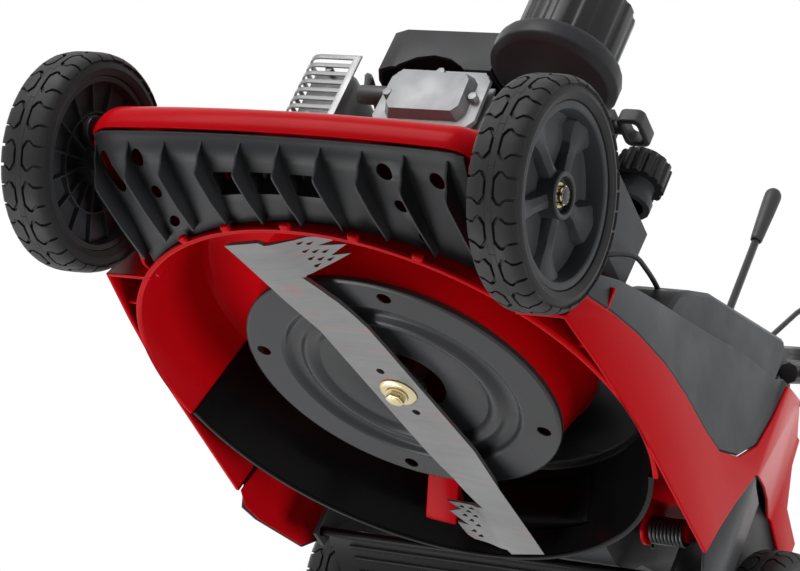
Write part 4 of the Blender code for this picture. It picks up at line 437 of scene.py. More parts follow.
# %% Rubbers, metals and the filter's paper
finish("tyre_rubber", "tyre_rubber", (0.022, 0.022, 0.023), (0.027, 0.0265, 0.0265), (0.50, 0.64),
       40.0, (1100.0, 160.0, 0.4, 0.16), ((0.075, 0.073, 0.071), 0.6), Specular_IOR_Level=0.20)
finish("zinc_plating", "zinc", (0.60, 0.50, 0.28), (0.62, 0.55, 0.36), (0.24, 0.38), 90.0,
       (900.0, 200.0, 0.3, 0.03), None, Metallic=1.0)
finish("cast_aluminium", "cast_metal", (0.235, 0.24, 0.245), (0.20, 0.205, 0.21), (0.44, 0.56),
       30.0, (1500.0, 420.0, 0.4, 0.14), ((0.36, 0.365, 0.37), 0.5), Metallic=0.45)
finish("guard_steel", "guard_metal", (0.25, 0.252, 0.255), (0.22, 0.222, 0.225), (0.36, 0.48),
       22.0, (1200.0, 260.0, 0.3, 0.05), ((0.36, 0.36, 0.365), 0.4), Metallic=0.5)
finish("bright_steel", "bright_steel", (0.36, 0.36, 0.37), (0.31, 0.31, 0.32), (0.24, 0.36), 60.0,
       (1500.0, 300.0, 0.3, 0.03), None, Metallic=1.0)
finish("soft_rubber", "soft_rubber", (0.018, 0.018, 0.019), (0.024, 0.024, 0.025), (0.46, 0.60),
       50.0, (1800.0, 300.0, 0.3, 0.08))
finish("filter_paper", "filter_paper", (0.55, 0.47, 0.30), (0.48, 0.40, 0.25), (0.80, 0.90), 60.0,
       (1500.0, 400.0, 0.4, 0.12))
print("finishes so far:", len(MATERIALS))


# %% [markdown]
# The blade is bare pressed steel. It is ground and rubbed along its length, so its grain is a noise
# that is stretched along the blade, and the paint of the deck has left faint red smears on it. A
# second noise is their mask: it mixes their colour in, by a half where a smear is thickest.

# %% Blade steel
BLADE_TURN = 78.1
GRAIN_STRETCH, SMEAR_STRETCH = (9.0, 260.0, 90.0), (10.0, 34.0, 10.0)
SMEAR_COLOUR = (0.42, 0.13, 0.10, 1)
SCRATCH_DEPTH = 0.00006


def along_blade(tree, place, stretch):
    """Coordinates turned to the blade's length, then scaled along it, across it and through it."""
    turn = (0, 0, math.radians(-BLADE_TURN))
    mapping = add(tree, "ShaderNodeMapping", [("Vector", place.outputs["Object"]),
                                              ("Rotation", turn), ("Scale", stretch)])
    return mapping.outputs[0]


def blade_steel():
    look = finish("blade_steel", "blade_steel", (0.215, 0.216, 0.218), (0.19, 0.191, 0.193),
                  (0.36, 0.48), 26.0, Metallic=0.85)
    tree = look.node_tree
    surface = tree.nodes["Principled BSDF"]
    place = add(tree, "ShaderNodeTexCoord")
    lines = add(tree, "ShaderNodeTexNoise", [("Vector", along_blade(tree, place, GRAIN_STRETCH)),
                                             ("Scale", 1.0), ("Detail", 5.0)])
    grain = add(tree, "ShaderNodeMapRange", [("Value", lines.outputs["Fac"]), ("From Min", 0.3),
                                             ("From Max", 0.75), ("To Min", 0.92),
                                             ("To Max", 1.04)])
    cloud = add(tree, "ShaderNodeTexNoise", [("Vector", along_blade(tree, place, SMEAR_STRETCH)),
                                             ("Scale", 1.6), ("Detail", 7.0), ("Roughness", 0.65)])
    smear = add(tree, "ShaderNodeMapRange", [("Value", cloud.outputs["Fac"]), ("From Min", 0.56),
                                             ("From Max", 0.74), ("To Max", 0.5)])
    base = surface.inputs["Base Color"].links[0].from_socket
    grained = add(tree, "ShaderNodeVectorMath", [(0, base), ("Scale", grain.outputs["Result"])],
                  operation="SCALE")
    stained = blended(tree, smear.outputs["Result"], grained.outputs[0], SMEAR_COLOUR)
    tree.links.new(stained, surface.inputs["Base Color"])
    bump = add(tree, "ShaderNodeBump", [("Height", lines.outputs["Fac"]), ("Strength", 1.0),
                                        ("Distance", SCRATCH_DEPTH)])
    tree.links.new(bump.outputs["Normal"], surface.inputs["Normal"])


blade_steel()
print("finishes:", sorted(MATERIALS))


# %% [markdown]
# ## Putting a piece into the scene
# A finished mesh is moved from the blade's axis to the mower's own frame, its faces are smoothed
# except at sharp edges, it is told which body carries it, and the CAD nodes that it stands for are
# hidden.

# %% Keep a finished piece
def keep(name, bm, look, body, nodes=(), angle=32.0):
    """Turn a bmesh into a piece of the scene; edges sharper than the angle stay sharp."""
    bmesh.ops.translate(bm, verts=bm.verts, vec=ORIGIN)
    mesh = bpy.data.meshes.new(name)
    bm.to_mesh(mesh)
    bm.free()
    mesh.materials.append(MATERIALS[look])
    mesh.polygons.foreach_set("use_smooth", [True] * len(mesh.polygons))
    mesh.set_sharp_from_angle(angle=math.radians(angle))
    piece = bpy.data.objects.new(name, mesh)
    bpy.context.scene.collection.objects.link(piece)
    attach(piece, body)
    if nodes:
        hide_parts(*nodes)
    print(name, "has", len(mesh.polygons), "faces and rides on", body)
    return piece


BODY_OF = {node: body for body, nodes in frame["record"]["behaviour"]["bodies"].items()
           for node in nodes}


# %% [markdown]
# ## Pieces that keep their CAD shape
# These parts are plain castings, plates and bars, or sit deep inside. A merged copy of the solid
# with rounded edges is the honest way to dress them: the shape stays the engineer's, and light
# catches the edges as it does on the real part.

# %% A solid's copy with rounded edges
WIDE_EDGE = 0.0015


def solid_of(node):
    """A merged copy of a CAD solid, with its place given from the blade's axis."""
    bm = bmesh.new()
    bm.from_mesh(frame["nodes"][node].data)
    bmesh.ops.translate(bm, verts=bm.verts, vec=-ORIGIN)
    bmesh.ops.remove_doubles(bm, verts=bm.verts, dist=1e-6)
    bmesh.ops.dissolve_limit(bm, angle_limit=math.radians(0.5), verts=bm.verts, edges=bm.edges)
    return bm


def refined(node, look, width=0.0008, smooth=32.0):
    """The CAD solid itself, with rounded edges and its finish."""
    bm = soften(solid_of(node), width, 4 if width > WIDE_EDGE else 2)
    return keep(node + "_finished", bm, look, BODY_OF[node], [node], smooth)


# %% Refined copies: finish, width of the rounding, sharp angle and nodes
PLAIN = [
    ("satin_black_paint", 0.0008, 32, ["front_arm_left", "front_arm_right", "rear_arm_left",
                                       "rear_arm_right"]),
    ("moulded_grey_plastic", 0.0020, 40, ["fuel_tank", "lever_console"]),
    ("moulded_grey_plastic", 0.0009, 62, ["side_cover_left", "side_cover_right"]),
    ("grained_black_plastic", 0.0050, 40, ["fan_shroud"]),
    ("grained_black_plastic", 0.0016, 40, ["recoil_housing", "air_filter_base"]),
    ("grained_black_plastic", 0.0008, 32, ["dipstick", "discharge_tunnel", "rear_frame",
                                           "rear_door", "arch_cover_left", "arch_cover_right",
                                           "fold_knob_left", "fold_knob_right"]),
    ("cast_aluminium", 0.0008, 32, ["gearbox", "crankcase", "muffler", "carburettor", "flywheel",
                                    "cylinder"]),
    ("cast_aluminium", 0.0022, 40, ["valve_cover"]),
    ("guard_steel", 0.0005, 45, ["muffler_guard"]),
    ("soft_rubber", 0.0008, 32, ["drive_belt", "plug_boot", "air_filter_element"]),
    ("soft_rubber", 0.0008, 62, ["control_cable"]),
    ("bright_steel", 0.0008, 32, ["crankshaft", "rear_shaft"]),
    ("handle_black_paint", 0.0006, 62, ["lower_handle", "upper_handle", "bail_bar", "drive_bar"]),
]
for look, width, smooth, nodes in PLAIN:
    for node in nodes:
        refined(node, look, width, smooth)
print("refined copies:", sum(len(row[3]) for row in PLAIN))


# %% [markdown]
# ## The die-cast deck
# The real deck is one aluminium casting, painted red: a round chamber for the blade, a sunken dome
# that carries the motor, and skirts round the wheels. Here each region is made the way that suits
# it. The chamber is turned on the lathe, with its wall and roof as one closed section and a rounded
# corner between them, because it has to read as one smooth bowl from below.

# %% Deck: chamber wall and roof
CHAMBER_RADIUS = 0.254
CHAMBER_DRAFT = 0.027
CHAMBER_DEPTH = 0.095
DECK_WALL = 0.004
LINER_START, LINER_END, LINER_TOP = 16.0, 168.0, 0.088
MOUND_RADIUS, MOUND_HEIGHT = 0.152, 0.034
GAP = 0.0003


def chamber_radius(rise):
    """The bowl's inner radius, which narrows as it rises."""
    return CHAMBER_RADIUS - CHAMBER_DRAFT * rise / CHAMBER_DEPTH


def chamber_wall():
    wall = [(chamber_radius(z), z) for z in (LINER_TOP, 0.060, 0.030, 0.0015)]
    wall += [(CHAMBER_RADIUS + 0.0006, 0.0004), (CHAMBER_RADIUS + 0.0016, 0.0),
             (CHAMBER_RADIUS + 0.0036, 0.0), (CHAMBER_RADIUS + 0.0048, 0.0006),
             (CHAMBER_RADIUS + 0.0050, 0.0034), (CHAMBER_RADIUS + 0.0034, 0.0050)]
    wall += [(chamber_radius(z) + DECK_WALL, z) for z in (0.030, LINER_TOP)]
    return spun(wall, 104, closed=True, sweep=360 - LINER_END + LINER_START, start=LINER_END)


def chamber_roof():
    depth, top = CHAMBER_DEPTH, CHAMBER_DEPTH + DECK_WALL
    corner = chamber_radius(depth)
    inside = [(chamber_radius(LINER_TOP), LINER_TOP), (corner + 0.0003, 0.0905),
              (corner - 0.0022, 0.0935), (corner - 0.007, depth), (0.176, depth), (0.171, 0.0938),
              (0.1680, 0.0900), (0.1528, 0.038), (0.1512, 0.0352), (0.1485, MOUND_HEIGHT),
              (0.1410, MOUND_HEIGHT), (0.1400, 0.0350), (MOUND_RADIUS, depth), (0.042, depth)]
    outside = [(0.042, top), (corner - 0.004, top), (corner + 0.001, top - 0.002),
               (chamber_radius(LINER_TOP) + DECK_WALL, LINER_TOP)]
    return spun(inside + outside, 144, closed=True)


def keep_deck(name, bm):
    """Keep a piece of the red casting."""
    keep(name, bm, "deck_red_paint", "chassis", ["deck_shell"])


keep_deck("deck_chamber_wall", chamber_wall())
keep_deck("deck_chamber_roof", chamber_roof())


# %% [markdown]
# The nose is a rolled lip across the front, with a side wall at each end. From there a shoulder
# plate runs back round the bowl, a curved wall closes the bay behind each front wheel, and the
# flanks flare out beside the bowl and climb at the back to carry the handle. The lip is a bent
# sheet; the rest are plates that are cut to their outline, bent to the flare, and given soft edges.

# %% Deck: measures and lines of its plates
NOSE_HALF_WIDTH = 0.192
NOSE_Y, NOSE_HEIGHT, NOSE_RADIUS = -0.322, 0.050, 0.025
NOSE_ARC = (75.0, 205.0)
SHOULDER = 0.0705
FRAME_X = NOSE_HALF_WIDTH + 0.0047
WHEEL_RADIUS, WHEEL_X = 0.1016, NOSE_HALF_WIDTH + 0.044
FRONT_AXLE_Y, REAR_AXLE_Y = -0.270, 0.450
AXLE_RISE = WHEEL_RADIUS * math.cos(math.pi / 30) - SKIRT_LEVEL
BAY_RADIUS = WHEEL_RADIUS + 0.0104
BAY_CENTRE, BAY_START = (FRONT_AXLE_Y, AXLE_RISE), -math.degrees(math.asin(AXLE_RISE / BAY_RADIUS))
FLANK_FLARE = ((-0.171, 0.239), (-0.100, 0.249), (-0.007, 0.2585), (0.235, 0.262),
               (0.408, FRAME_X + 0.0083), (0.490, FRAME_X + 0.0083))
FLANK_TOP = ((-0.155, 0.035), (-0.110, 0.050), (-0.065, 0.062), (-0.010, 0.071), (0.045, 0.0775),
             (0.105, 0.080), (0.145, 0.085), (0.185, 0.107), (0.212, 0.139), (0.2225, 0.179),
             (0.229, 0.223))
TOWER = ((0.330, 0.277), (0.416, 0.284), (0.420, 0.254), (0.443, 0.216), (0.490, 0.203),
         (0.490, 0.166), (0.451, 0.172), (0.417, 0.182), (0.359, 0.171), (0.309, 0.154),
         (0.250, 0.128))
ARCH = ((0.232, 0.119), (0.210, 0.068), (0.198, 0.032), (0.190, 0.0))
TUNNEL_LEFT = 0.138
print("wheel bays:", round(BAY_RADIUS, 4), "m in radius,", round(AXLE_RISE, 4), "m above the rim")


# %% Deck: nose lip and its side walls
def nose_y(x):
    """How far the lip falls back from its middle to its corners."""
    share = abs(x) / NOSE_HALF_WIDTH
    corner = max(0.0, share - 0.88) / 0.12
    return 0.008 * share ** 2 + 0.010 * corner ** 2


def nose_lip():
    def place(u, v):
        x = (2 * u - 1) * NOSE_HALF_WIDTH
        angle = math.radians(NOSE_ARC[0] + (NOSE_ARC[1] - NOSE_ARC[0]) * v)
        return Vector((x, NOSE_Y + nose_y(x) + NOSE_RADIUS * math.cos(angle),
                       NOSE_HEIGHT + NOSE_RADIUS * math.sin(angle)))
    return walled(sheet(72, 28, place), DECK_WALL, (0, 1, -0.3))


def nose_side(side):
    outline = [(NOSE_Y + 0.002, 0.034), (NOSE_Y - 0.004, 0.052), (NOSE_Y + 0.004, 0.0725),
               (-0.158, 0.0725), (-0.158, 0.010), (-0.184, 0.004)]
    plate = slab([outline], NOSE_HALF_WIDTH - DECK_WALL, NOSE_HALF_WIDTH, "YZ")
    return sided(soften(plate, 0.0012), side)


# %% Deck: shoulder, bay walls and flanks
def flank_x(y):
    return lookup(FLANK_FLARE, y)


def shoulder_outline():
    bore = chamber_radius(SHOULDER) + DECK_WALL / 2
    ledge = bore + 0.0098
    notch, rear = TUNNEL_LEFT + 0.001, CHAMBER_RADIUS - 0.024
    side = [(NOSE_HALF_WIDTH - 0.002, NOSE_Y), (NOSE_HALF_WIDTH - 0.002, -0.150)]
    side += [(math.sqrt(ledge ** 2 - y ** 2), y) for y in (-0.135, -0.105, -0.070, -0.030)]
    side += [(flank_x(y) - 0.0035, y) for y in (0.030, 0.110, 0.184)]
    side += [(rear, 0.198), (rear, 0.290), (notch, 0.290)]
    reach = math.degrees(math.acos(notch / bore))
    inner = arc((0, 0), bore, 180 - reach, 360 + reach, 60)
    return side + inner[::-1] + [(-x, y) for x, y in side[::-1]]


def bay_wall(side):
    outline = (arc(BAY_CENTRE, BAY_RADIUS, BAY_START, 10, 24)
               + arc(BAY_CENTRE, BAY_RADIUS + DECK_WALL, 10, BAY_START + 1, 24))
    wall = slab([outline], NOSE_HALF_WIDTH - 0.002, flank_x(-0.165) - 0.002, "YZ")
    return sided(soften(wall, 0.0010), side)


def bent_to_flare(bm):
    """Cut a side plate across where the flank bends and push each place out to the flare."""
    creased(bm, "Y", [place for place, reach in FLANK_FLARE[1:-1]])
    for vert in bm.verts:
        vert.co.x += flank_x(vert.co.y)
    return bm


def flank(side):
    front = arc(BAY_CENTRE, BAY_RADIUS, BAY_START, BAY_START + 20, 10)
    bm = slab([front + list(FLANK_TOP) + list(TOWER) + list(ARCH)], -DECK_WALL, 0, "YZ")
    return sided(bent_to_flare(soften(bm, 0.0014, 3, 50)), side)


keep_deck("deck_nose_lip", nose_lip())
keep_deck("deck_shoulder", soften(slab([shoulder_outline()], SHOULDER, SHOULDER + DECK_WALL),
                                  0.0008, 1))
for side, hand in ((1, "left"), (-1, "right")):
    keep_deck("deck_nose_side_" + hand, nose_side(side))
    keep_deck("deck_bay_wall_" + hand, bay_wall(side))
    keep_deck("deck_flank_" + hand, flank(side))


# %% [markdown]
# The casting also has small things that show from below: the lugs on the rim that hold the front
# grille, thin ribs between the bowl and each flank, the hanger of the shield's spring, the pins of
# the front wheel arms and the ring on top that the motor is bolted to. All are short blocks, plates
# and bars, because in the casting they are lumps and ribs with soft edges.

# %% Deck: lugs on the rim and ribs beside the bowl
RIM_LUGS = (-118.0, -105.0, -90.5, -76.0, -63.0)
SIDE_RIBS = ((-0.118, 0.006), (0.075, 0.010))
RIB_HALF = 0.0016


def rim_lug(angle):
    lug = soften(block((0.2575, -0.0052, -0.0001), (0.2655, 0.0052, 0.0058)), 0.0022, 3)
    return turned_about(lug, angle)


def side_web(side):
    """Two thin ribs between the bowl and the flank."""
    ribs = []
    for y, low in SIDE_RIBS:
        inner = math.sqrt((CHAMBER_RADIUS + 0.001) ** 2 - y ** 2)
        rib = block((inner - 0.002, y - RIB_HALF, low),
                    (flank_x(y) - 0.002, y + RIB_HALF, SHOULDER + 0.001))
        ribs.append(soften(rib, 0.0007, 1))
    return sided(merged(*ribs), side)


keep_deck("deck_rim_lugs", merged(*[rim_lug(angle) for angle in RIM_LUGS]))
keep_deck("deck_webs", merged(side_web(1), side_web(-1)))


# %% Deck: hanger of the spring, motor ring and pins
SPRING_X, SPRING_Y, SPRING_Z = FRAME_X - 0.0227, 0.240, 0.048
PIVOT_FRONT_Y = FRONT_AXLE_Y - 0.048


def spring_hanger():
    y = SPRING_Y
    outline = [(y - 0.022, 0.0725), (y + 0.022, 0.0725), (y + 0.013, 0.038), (y + 0.005, 0.033),
               (y - 0.005, 0.033), (y - 0.013, 0.038)]
    plate = soften(slab([outline], SPRING_X - 0.007, SPRING_X - 0.003, "YZ"), 0.0010)
    pin = rod(0.0089, SPRING_X - 0.005, SPRING_X + 0.039, "X", (0, y, SPRING_Z), 32, 0.001)
    return merged(plate, pin)


def motor_ring():
    low, top = 0.098, 0.119
    return spun([(0.092, top - 0.001), (0.092, low), (0.082, low), (0.082, top - 0.001),
                 (0.083, top), (0.091, top)], 72, closed=True)


def front_pins():
    pins = []
    for side in (1, -1):
        ends = sorted((side * (NOSE_HALF_WIDTH - 0.002), side * (NOSE_HALF_WIDTH + 0.0135)))
        pins.append(rod(0.0055, *ends, "X", (0, PIVOT_FRONT_Y, AXLE_RISE), 24, 0.0008))
    return merged(*pins)


keep_deck("deck_spring_hanger", spring_hanger())
keep_deck("deck_motor_ring", motor_ring())
keep_deck("deck_front_pins", front_pins())


# %% [markdown]
# ## Liner, door and kicker
# The back half of the bowl is lined with smooth black plastic, so that wet grass slides to the
# chute. Its rim is rolled, which shows as a thin double line, and it covers the roof as well. The
# door in it opens the chute. A red kicker beside the door throws grass back into the blade.

# %% Liner of the chamber
LINER_WALL = 0.003
DOOR_START, DOOR_END, DOOR_LOW, DOOR_TOP = 60.0, 97.0, 0.0296, 0.0797


def liner_band(start, end, low, top, steps):
    inner, outer = LINER_WALL + GAP, GAP
    section = [(chamber_radius(low) - outer, low), (chamber_radius(top) - outer, top),
               (chamber_radius(top) - inner, top), (chamber_radius(low) - inner, low)]
    return spun(section, steps, closed=True, sweep=end - start, start=start)


def liner():
    low, top = DOOR_LOW - 0.0016, 0.0802
    parts = [liner_band(LINER_START + 0.1, DOOR_START, 0.0016, LINER_TOP - GAP, 24),
             liner_band(DOOR_END, LINER_END - 0.1, 0.0016, LINER_TOP - GAP, 36),
             liner_band(DOOR_START, DOOR_END, 0.0016, low, 19),
             liner_band(DOOR_START, DOOR_END, top, LINER_TOP - GAP, 19)]
    edge = chamber_radius(0.0)
    roll = [(edge - 0.0040, 0.0034), (edge - 0.0046, 0.0016), (edge - 0.0038, 0.0002),
            (edge - 0.0010, 0.0), (edge + 0.0006, 0.0006), (edge + 0.0006, 0.0024)]
    parts.append(spun(roll, 76, closed=True, sweep=LINER_END - LINER_START, start=LINER_START))
    roof = [(chamber_radius(0.0873) - 0.0005, 0.0873), (0.2250, 0.0918), (0.2190, 0.0945),
            (0.1750, 0.0945), (0.1700, 0.0932), (0.1668, 0.0890), (0.1524, 0.040), (0.1500, 0.0340),
            (0.1490, 0.0334), (0.1475, 0.0338), (0.1512, 0.0415), (0.1655, 0.0896),
            (0.1690, 0.0945), (0.1750, 0.0957), (0.2198, 0.0957), (0.2268, 0.0925)]
    parts.append(spun(roof, 76, closed=True, sweep=LINER_END - LINER_START, start=LINER_START))
    return merged(*parts)


keep("chamber_liner_moulding", liner(), "gloss_black_plastic", "chassis", ["chamber_liner"])


# %% Kicker
KICKER_LOW, KICKER_TOP, KICKER_HALF, KICKER_TURN = 0.024, 0.052, 0.0165, 102.0


def kicker():
    """A wedge on the liner's wall that reaches furthest into the bowl at its top."""
    foot, head = chamber_radius(KICKER_LOW), chamber_radius(KICKER_TOP)
    outline = [(foot - 0.0015, KICKER_LOW), (head - 0.0015, KICKER_TOP),
               (head - 0.040, KICKER_TOP - 0.001), (foot - 0.007, KICKER_LOW + 0.002)]
    wedge = soften(slab([outline], -KICKER_HALF, KICKER_HALF, "XZ"), 0.0014, 3)
    return turned_about(wedge, KICKER_TURN)


keep("chamber_kicker", kicker(), "deck_red_paint", "chassis", ["chamber_liner"])


# %% Discharge door
DOOR_HINGE_Y, DOOR_HINGE_Z = 0.245, 0.082


def discharge_door():
    low, top = DOOR_LOW + 0.0016, DOOR_TOP
    parts = [soften(liner_band(DOOR_START + 0.15, DOOR_END - 0.15, low, top, 18), 0.0008, 2),
             rod(0.003, -0.0364, 0.1344, "X", (0, DOOR_HINGE_Y, DOOR_HINGE_Z), 20, 0.0005)]
    for middle in (-0.010, 0.092):
        wall = math.sqrt((chamber_radius(0.072) - 0.0015) ** 2 - middle ** 2)
        lug = [(wall, 0.066), (wall, 0.0765), (DOOR_HINGE_Y, DOOR_HINGE_Z + 0.002),
               (DOOR_HINGE_Y, DOOR_HINGE_Z - 0.002)]
        parts.append(soften(slab([lug], middle - 0.003, middle + 0.003, "YZ"), 0.0006, 1))
    return merged(*parts)


keep("discharge_door_moulding", discharge_door(), "gloss_black_plastic", "mulch_door",
     ["discharge_door"])


# %% [markdown]
# ## Guard disc, blade and blade bolt
# The disc is a steel pressing under the motor: a flat ring with four holes, a groove, and a raised
# pan in the middle that hides the belt. It is turned on the lathe, and the holes are drawn as loops
# in the flat ring before it gets its thickness. The blade is one bar: its middle is flat, its ends
# are bent down, and behind each cutting edge a sail lifts the grass. The sail on this blade is cut
# into saw teeth and pierced by drops, so it is cut from a plate outline with holes and then bent.

# %% Guard disc
DISC_RADIUS, DISC_Z, DISC_WALL, PAN_Z = 0.158, 0.0246, 0.0017, 0.030
FLAT_INNER, FLAT_OUTER = 0.1215, 0.1545
DISC_HOLES, HOLE_RING, HOLE_RADIUS = (21.6, 107.7, 193.8, 285.0), 0.141, 0.0072


def disc():
    low = DISC_Z
    loops = [circle((0, 0), FLAT_OUTER, 144), circle((0, 0), FLAT_INNER, 120)]
    loops += [circle(polar(HOLE_RING, angle), HOLE_RADIUS, 24) for angle in DISC_HOLES]
    flat = slab(loops, low, low + DISC_WALL)
    edge = [(FLAT_OUTER, low), (0.1562, low + 0.0004), (0.1576, low + 0.0016),
            (DISC_RADIUS, low + 0.0034), (DISC_RADIUS, low + 0.006), (0.1565, low + 0.006),
            (0.1562, low + 0.0036), (0.1552, low + 0.0022), (FLAT_OUTER, low + DISC_WALL)]
    pan = [(FLAT_INNER, low), (0.1195, low + 0.0004), (0.1172, low + 0.0024),
           (0.1155, low + 0.0050), (0.1130, low + 0.0062), (0.1050, low + 0.0062),
           (0.1020, low + 0.0050), (0.0995, low + 0.0018), (0.0968, low + 0.0004),
           (0.0940, low + 0.0002), (0.0905, low + 0.0010), (0.0870, low + 0.0034),
           (0.0840, PAN_Z), (0.0450, PAN_Z), (0.0425, PAN_Z + 0.0006), (0.042, PAN_Z + DISC_WALL)]
    back = [(radius, z + DISC_WALL) for radius, z in pan[:-1]]
    return merged(flat, spun(edge, 144, closed=True), spun(pan + back[::-1], 144, closed=True))


def disc_posts():
    """Four posts that hold the disc under the sunken dome."""
    posts = []
    for angle in (35.0, 125.0, 215.0, 305.0):
        posts.append(rod(0.0035, DISC_Z + 0.0020, MOUND_HEIGHT - GAP, "Z", polar(0.144, angle), 20,
                         0.0008))
    return merged(*posts)


keep("guard_disc", merged(disc(), disc_posts()), "satin_black_paint", "chassis", ["mount_disc"])


# %% [markdown]
# The blade is cut as one flat plate with all its holes, and only then pressed to shape, just as the
# real one is. One half is drawn and turned half round for the other. Crease lines are cut across
# the plate first, so that it bends where the press bends it: down towards the tip, twisted behind
# the cutting edge, and up in the sail, which is cut into teeth and pierced by rows of drops.

# %% Blade outline and press lines
BLADE_HALF, BLADE_TIP, BLADE_THICKNESS, BLADE_HEIGHT = 0.0285, 0.242, 0.004, 0.0165
BORE, PIN_PLACE, PIN_RADIUS = 0.0055, 0.032, 0.0042
BLADE_DROPS = ((-0.147, 0.0), (-0.122, 0.0035), (-0.092, 0.0076), (-0.054, 0.0115),
               (-0.024, 0.0146), (0.0, 0.0177))
TWIST_RISE, TWIST_ACROSS = 0.004, ((-0.012, 0.0), (0.012, 1.0))
TWIST_PLACES = ((-0.147, 0.0), (-0.107, 1.0), (-0.042, 1.0), (0.0, 0.0))
SAIL_FOLD = ((-0.062, 0.011), (-0.007, 0.0136))
SAIL_SLOPES = ((-0.055, 0.30), (-0.007, 0.217))
SAIL_ROWS = ((0.2255, 0.0418, 2), (0.2114, 0.0372, 3), (0.1988, 0.0338, 3), (0.1874, 0.0322, 1))
SAIL_HOLE_STEP = (-0.0045, 0.0068)


def blade_outline():
    """One half of the blade, from its leading corner round the sail to its waist."""
    tail = [(0.242, 0.0112), (0.2362, 0.0136), (0.2354, 0.020), (0.2340, 0.0300), (0.2325, 0.0416)]
    teeth = [(0.2322, 0.0557), (0.2289, 0.0635), (0.2214, 0.0679), (0.2153, 0.0701),
             (0.2149, 0.0536), (0.2034, 0.0747), (0.1949, 0.0525), (0.1890, 0.0690),
             (0.1843, 0.0476), (0.1807, 0.0257)]
    slot = arc((0.1822, 0.0150), 0.0036, 120, 250, 6)
    waist = [(0.1700, 0.0150), (0.1560, 0.0185), (0.1330, 0.0225), (0.1150, 0.0258),
             (0.0950, 0.0280), (0.0600, BLADE_HALF)]
    return [(BLADE_TIP, -BLADE_HALF)] + tail + teeth + slot + waist


# %% Drops in the sail
def drop(centre, length, width, degrees):
    """A hole like a drop: a round head and a pointed tail."""
    cosine, sine = math.cos(math.radians(degrees)), math.sin(math.radians(degrees))
    return [(centre[0] + u * cosine - v * sine, centre[1] + u * sine + v * cosine)
            for u, v in arc((0, 0), width / 2, 70, 290, 8) + [(length, 0)]]


def sail_drops():
    holes = []
    for along, across, count in SAIL_ROWS:
        for i in range(count):
            centre = (along + SAIL_HOLE_STEP[0] * i, across + SAIL_HOLE_STEP[1] * i)
            holes.append(drop(centre, 0.0072, 0.0038, 76.0))
    return holes


# %% Rise of the blade, from its line and its width
def blade_rise(place, across):
    """Height of the blade; place counts from the tip inwards, across from its middle line."""
    lift = TWIST_RISE * lookup(TWIST_PLACES, place) * lookup(TWIST_ACROSS, across)
    behind = across - lookup(SAIL_FOLD, place)
    if place > SAIL_FOLD[0][0] - 0.001 and behind > 0:
        lift += lookup(SAIL_SLOPES, place) * behind * min(1.0, behind / 0.018) ** 0.5
    return BLADE_HEIGHT - lookup(BLADE_DROPS, place) + lift


# %% Blade: cut, crease and press
CREASES_ALONG = [0.095 + 0.0105 * i for i in range(14)]
CREASES_ACROSS = (0.012, 0.016, BLADE_HALF - 0.0065, 0.030, 0.040, 0.052)
THINNING = ((0.022, BLADE_THICKNESS), (0.040, 0.0022))
GROUND_START, GROUND_THICKNESS = -0.100, 0.0008


def blade():
    half = blade_outline()
    loops = [half + [(-u, -v) for u, v in half], circle((0, 0), BORE, 24)]
    for sign in (1, -1):
        loops.append(circle((PIN_PLACE * sign, 0), PIN_RADIUS, 18))
        loops += [[(sign * u, sign * v) for u, v in hole] for hole in sail_drops()]
    bm = slab(loops, 0.0, BLADE_THICKNESS)
    creased(bm, "X", both_ways(CREASES_ALONG))
    creased(bm, "Y", both_ways(CREASES_ACROSS))
    for vert in no_large_faces(bm).verts:
        side = 1 if vert.co.x > 0 else -1
        place, back = side * vert.co.x - BLADE_TIP, side * vert.co.y
        wall = 0.0
        if vert.co.z > BLADE_THICKNESS / 2:
            ground = place > GROUND_START and back < -BLADE_HALF + 0.0001
            wall = GROUND_THICKNESS if ground else lookup(THINNING, back)
        vert.co.z = blade_rise(place, back) + wall
    return turned_about(soften(bm, 0.0005, 1, 50), BLADE_TURN)


keep("blade_pressing", blade(), "blade_steel", "rotor", ["blade"], 24.0)


# %% [markdown]
# A thick washer and one hexagon bolt hold the blade, and both are plated, which gives them a warm
# yellow. The washer is turned. The bolt is a turned collar, a hexagon with rounded edges that is
# cut as a plate, a shallow dish in its end, and a shank that goes up through the blade.

# %% Blade washer and bolt
WASHER_DEPTH = 0.0030


def blade_washer():
    top = BLADE_HEIGHT - GAP
    return spun([(0.0060, top), (0.0186, top), (0.0190, top - 0.0006), (0.0186, top - 0.0012),
                 (0.0165, top - 0.0026), (0.0150, top - WASHER_DEPTH),
                 (0.0060, top - WASHER_DEPTH)], 48, closed=True)


def blade_bolt():
    top = BLADE_HEIGHT - WASHER_DEPTH - 2 * GAP
    collar = spun([(0, top), (0.0110, top), (0.0114, top - 0.0006), (0.0110, top - 0.0016),
                   (0.0092, top - 0.0018), (0, top - 0.0018)], 40)
    hexagon = soften(slab([circle((0, 0), 0.0095, 6)], top - 0.0072, top - 0.0017), 0.0008, 2, 40)
    dish = spun([(0, top - 0.0068), (0.0052, top - 0.0068), (0.0064, top - 0.0076),
                 (0.0050, top - 0.0081), (0, top - 0.0078)], 32)
    return merged(turned_about(hexagon, 20), collar, dish, rod(0.0048, top - 0.001, 0.085))


keep("blade_washer_turned", blade_washer(), "zinc_plating", "rotor", ["blade_washer"])
keep("blade_bolt_turned", blade_bolt(), "zinc_plating", "rotor", ["blade_bolt"])


# %% [markdown]
# ## Front grille
# Under the nose a black moulding keeps stones and fingers out of the blade. Its wall rolls out
# below the lip and then falls back to the bowl, ten deep fins stand on it, and it is pierced by
# drain holes and three windows. A moulding like this is easiest to draw flat, with its holes, and
# then to lay on its curved place by one rule, which the fins use too.

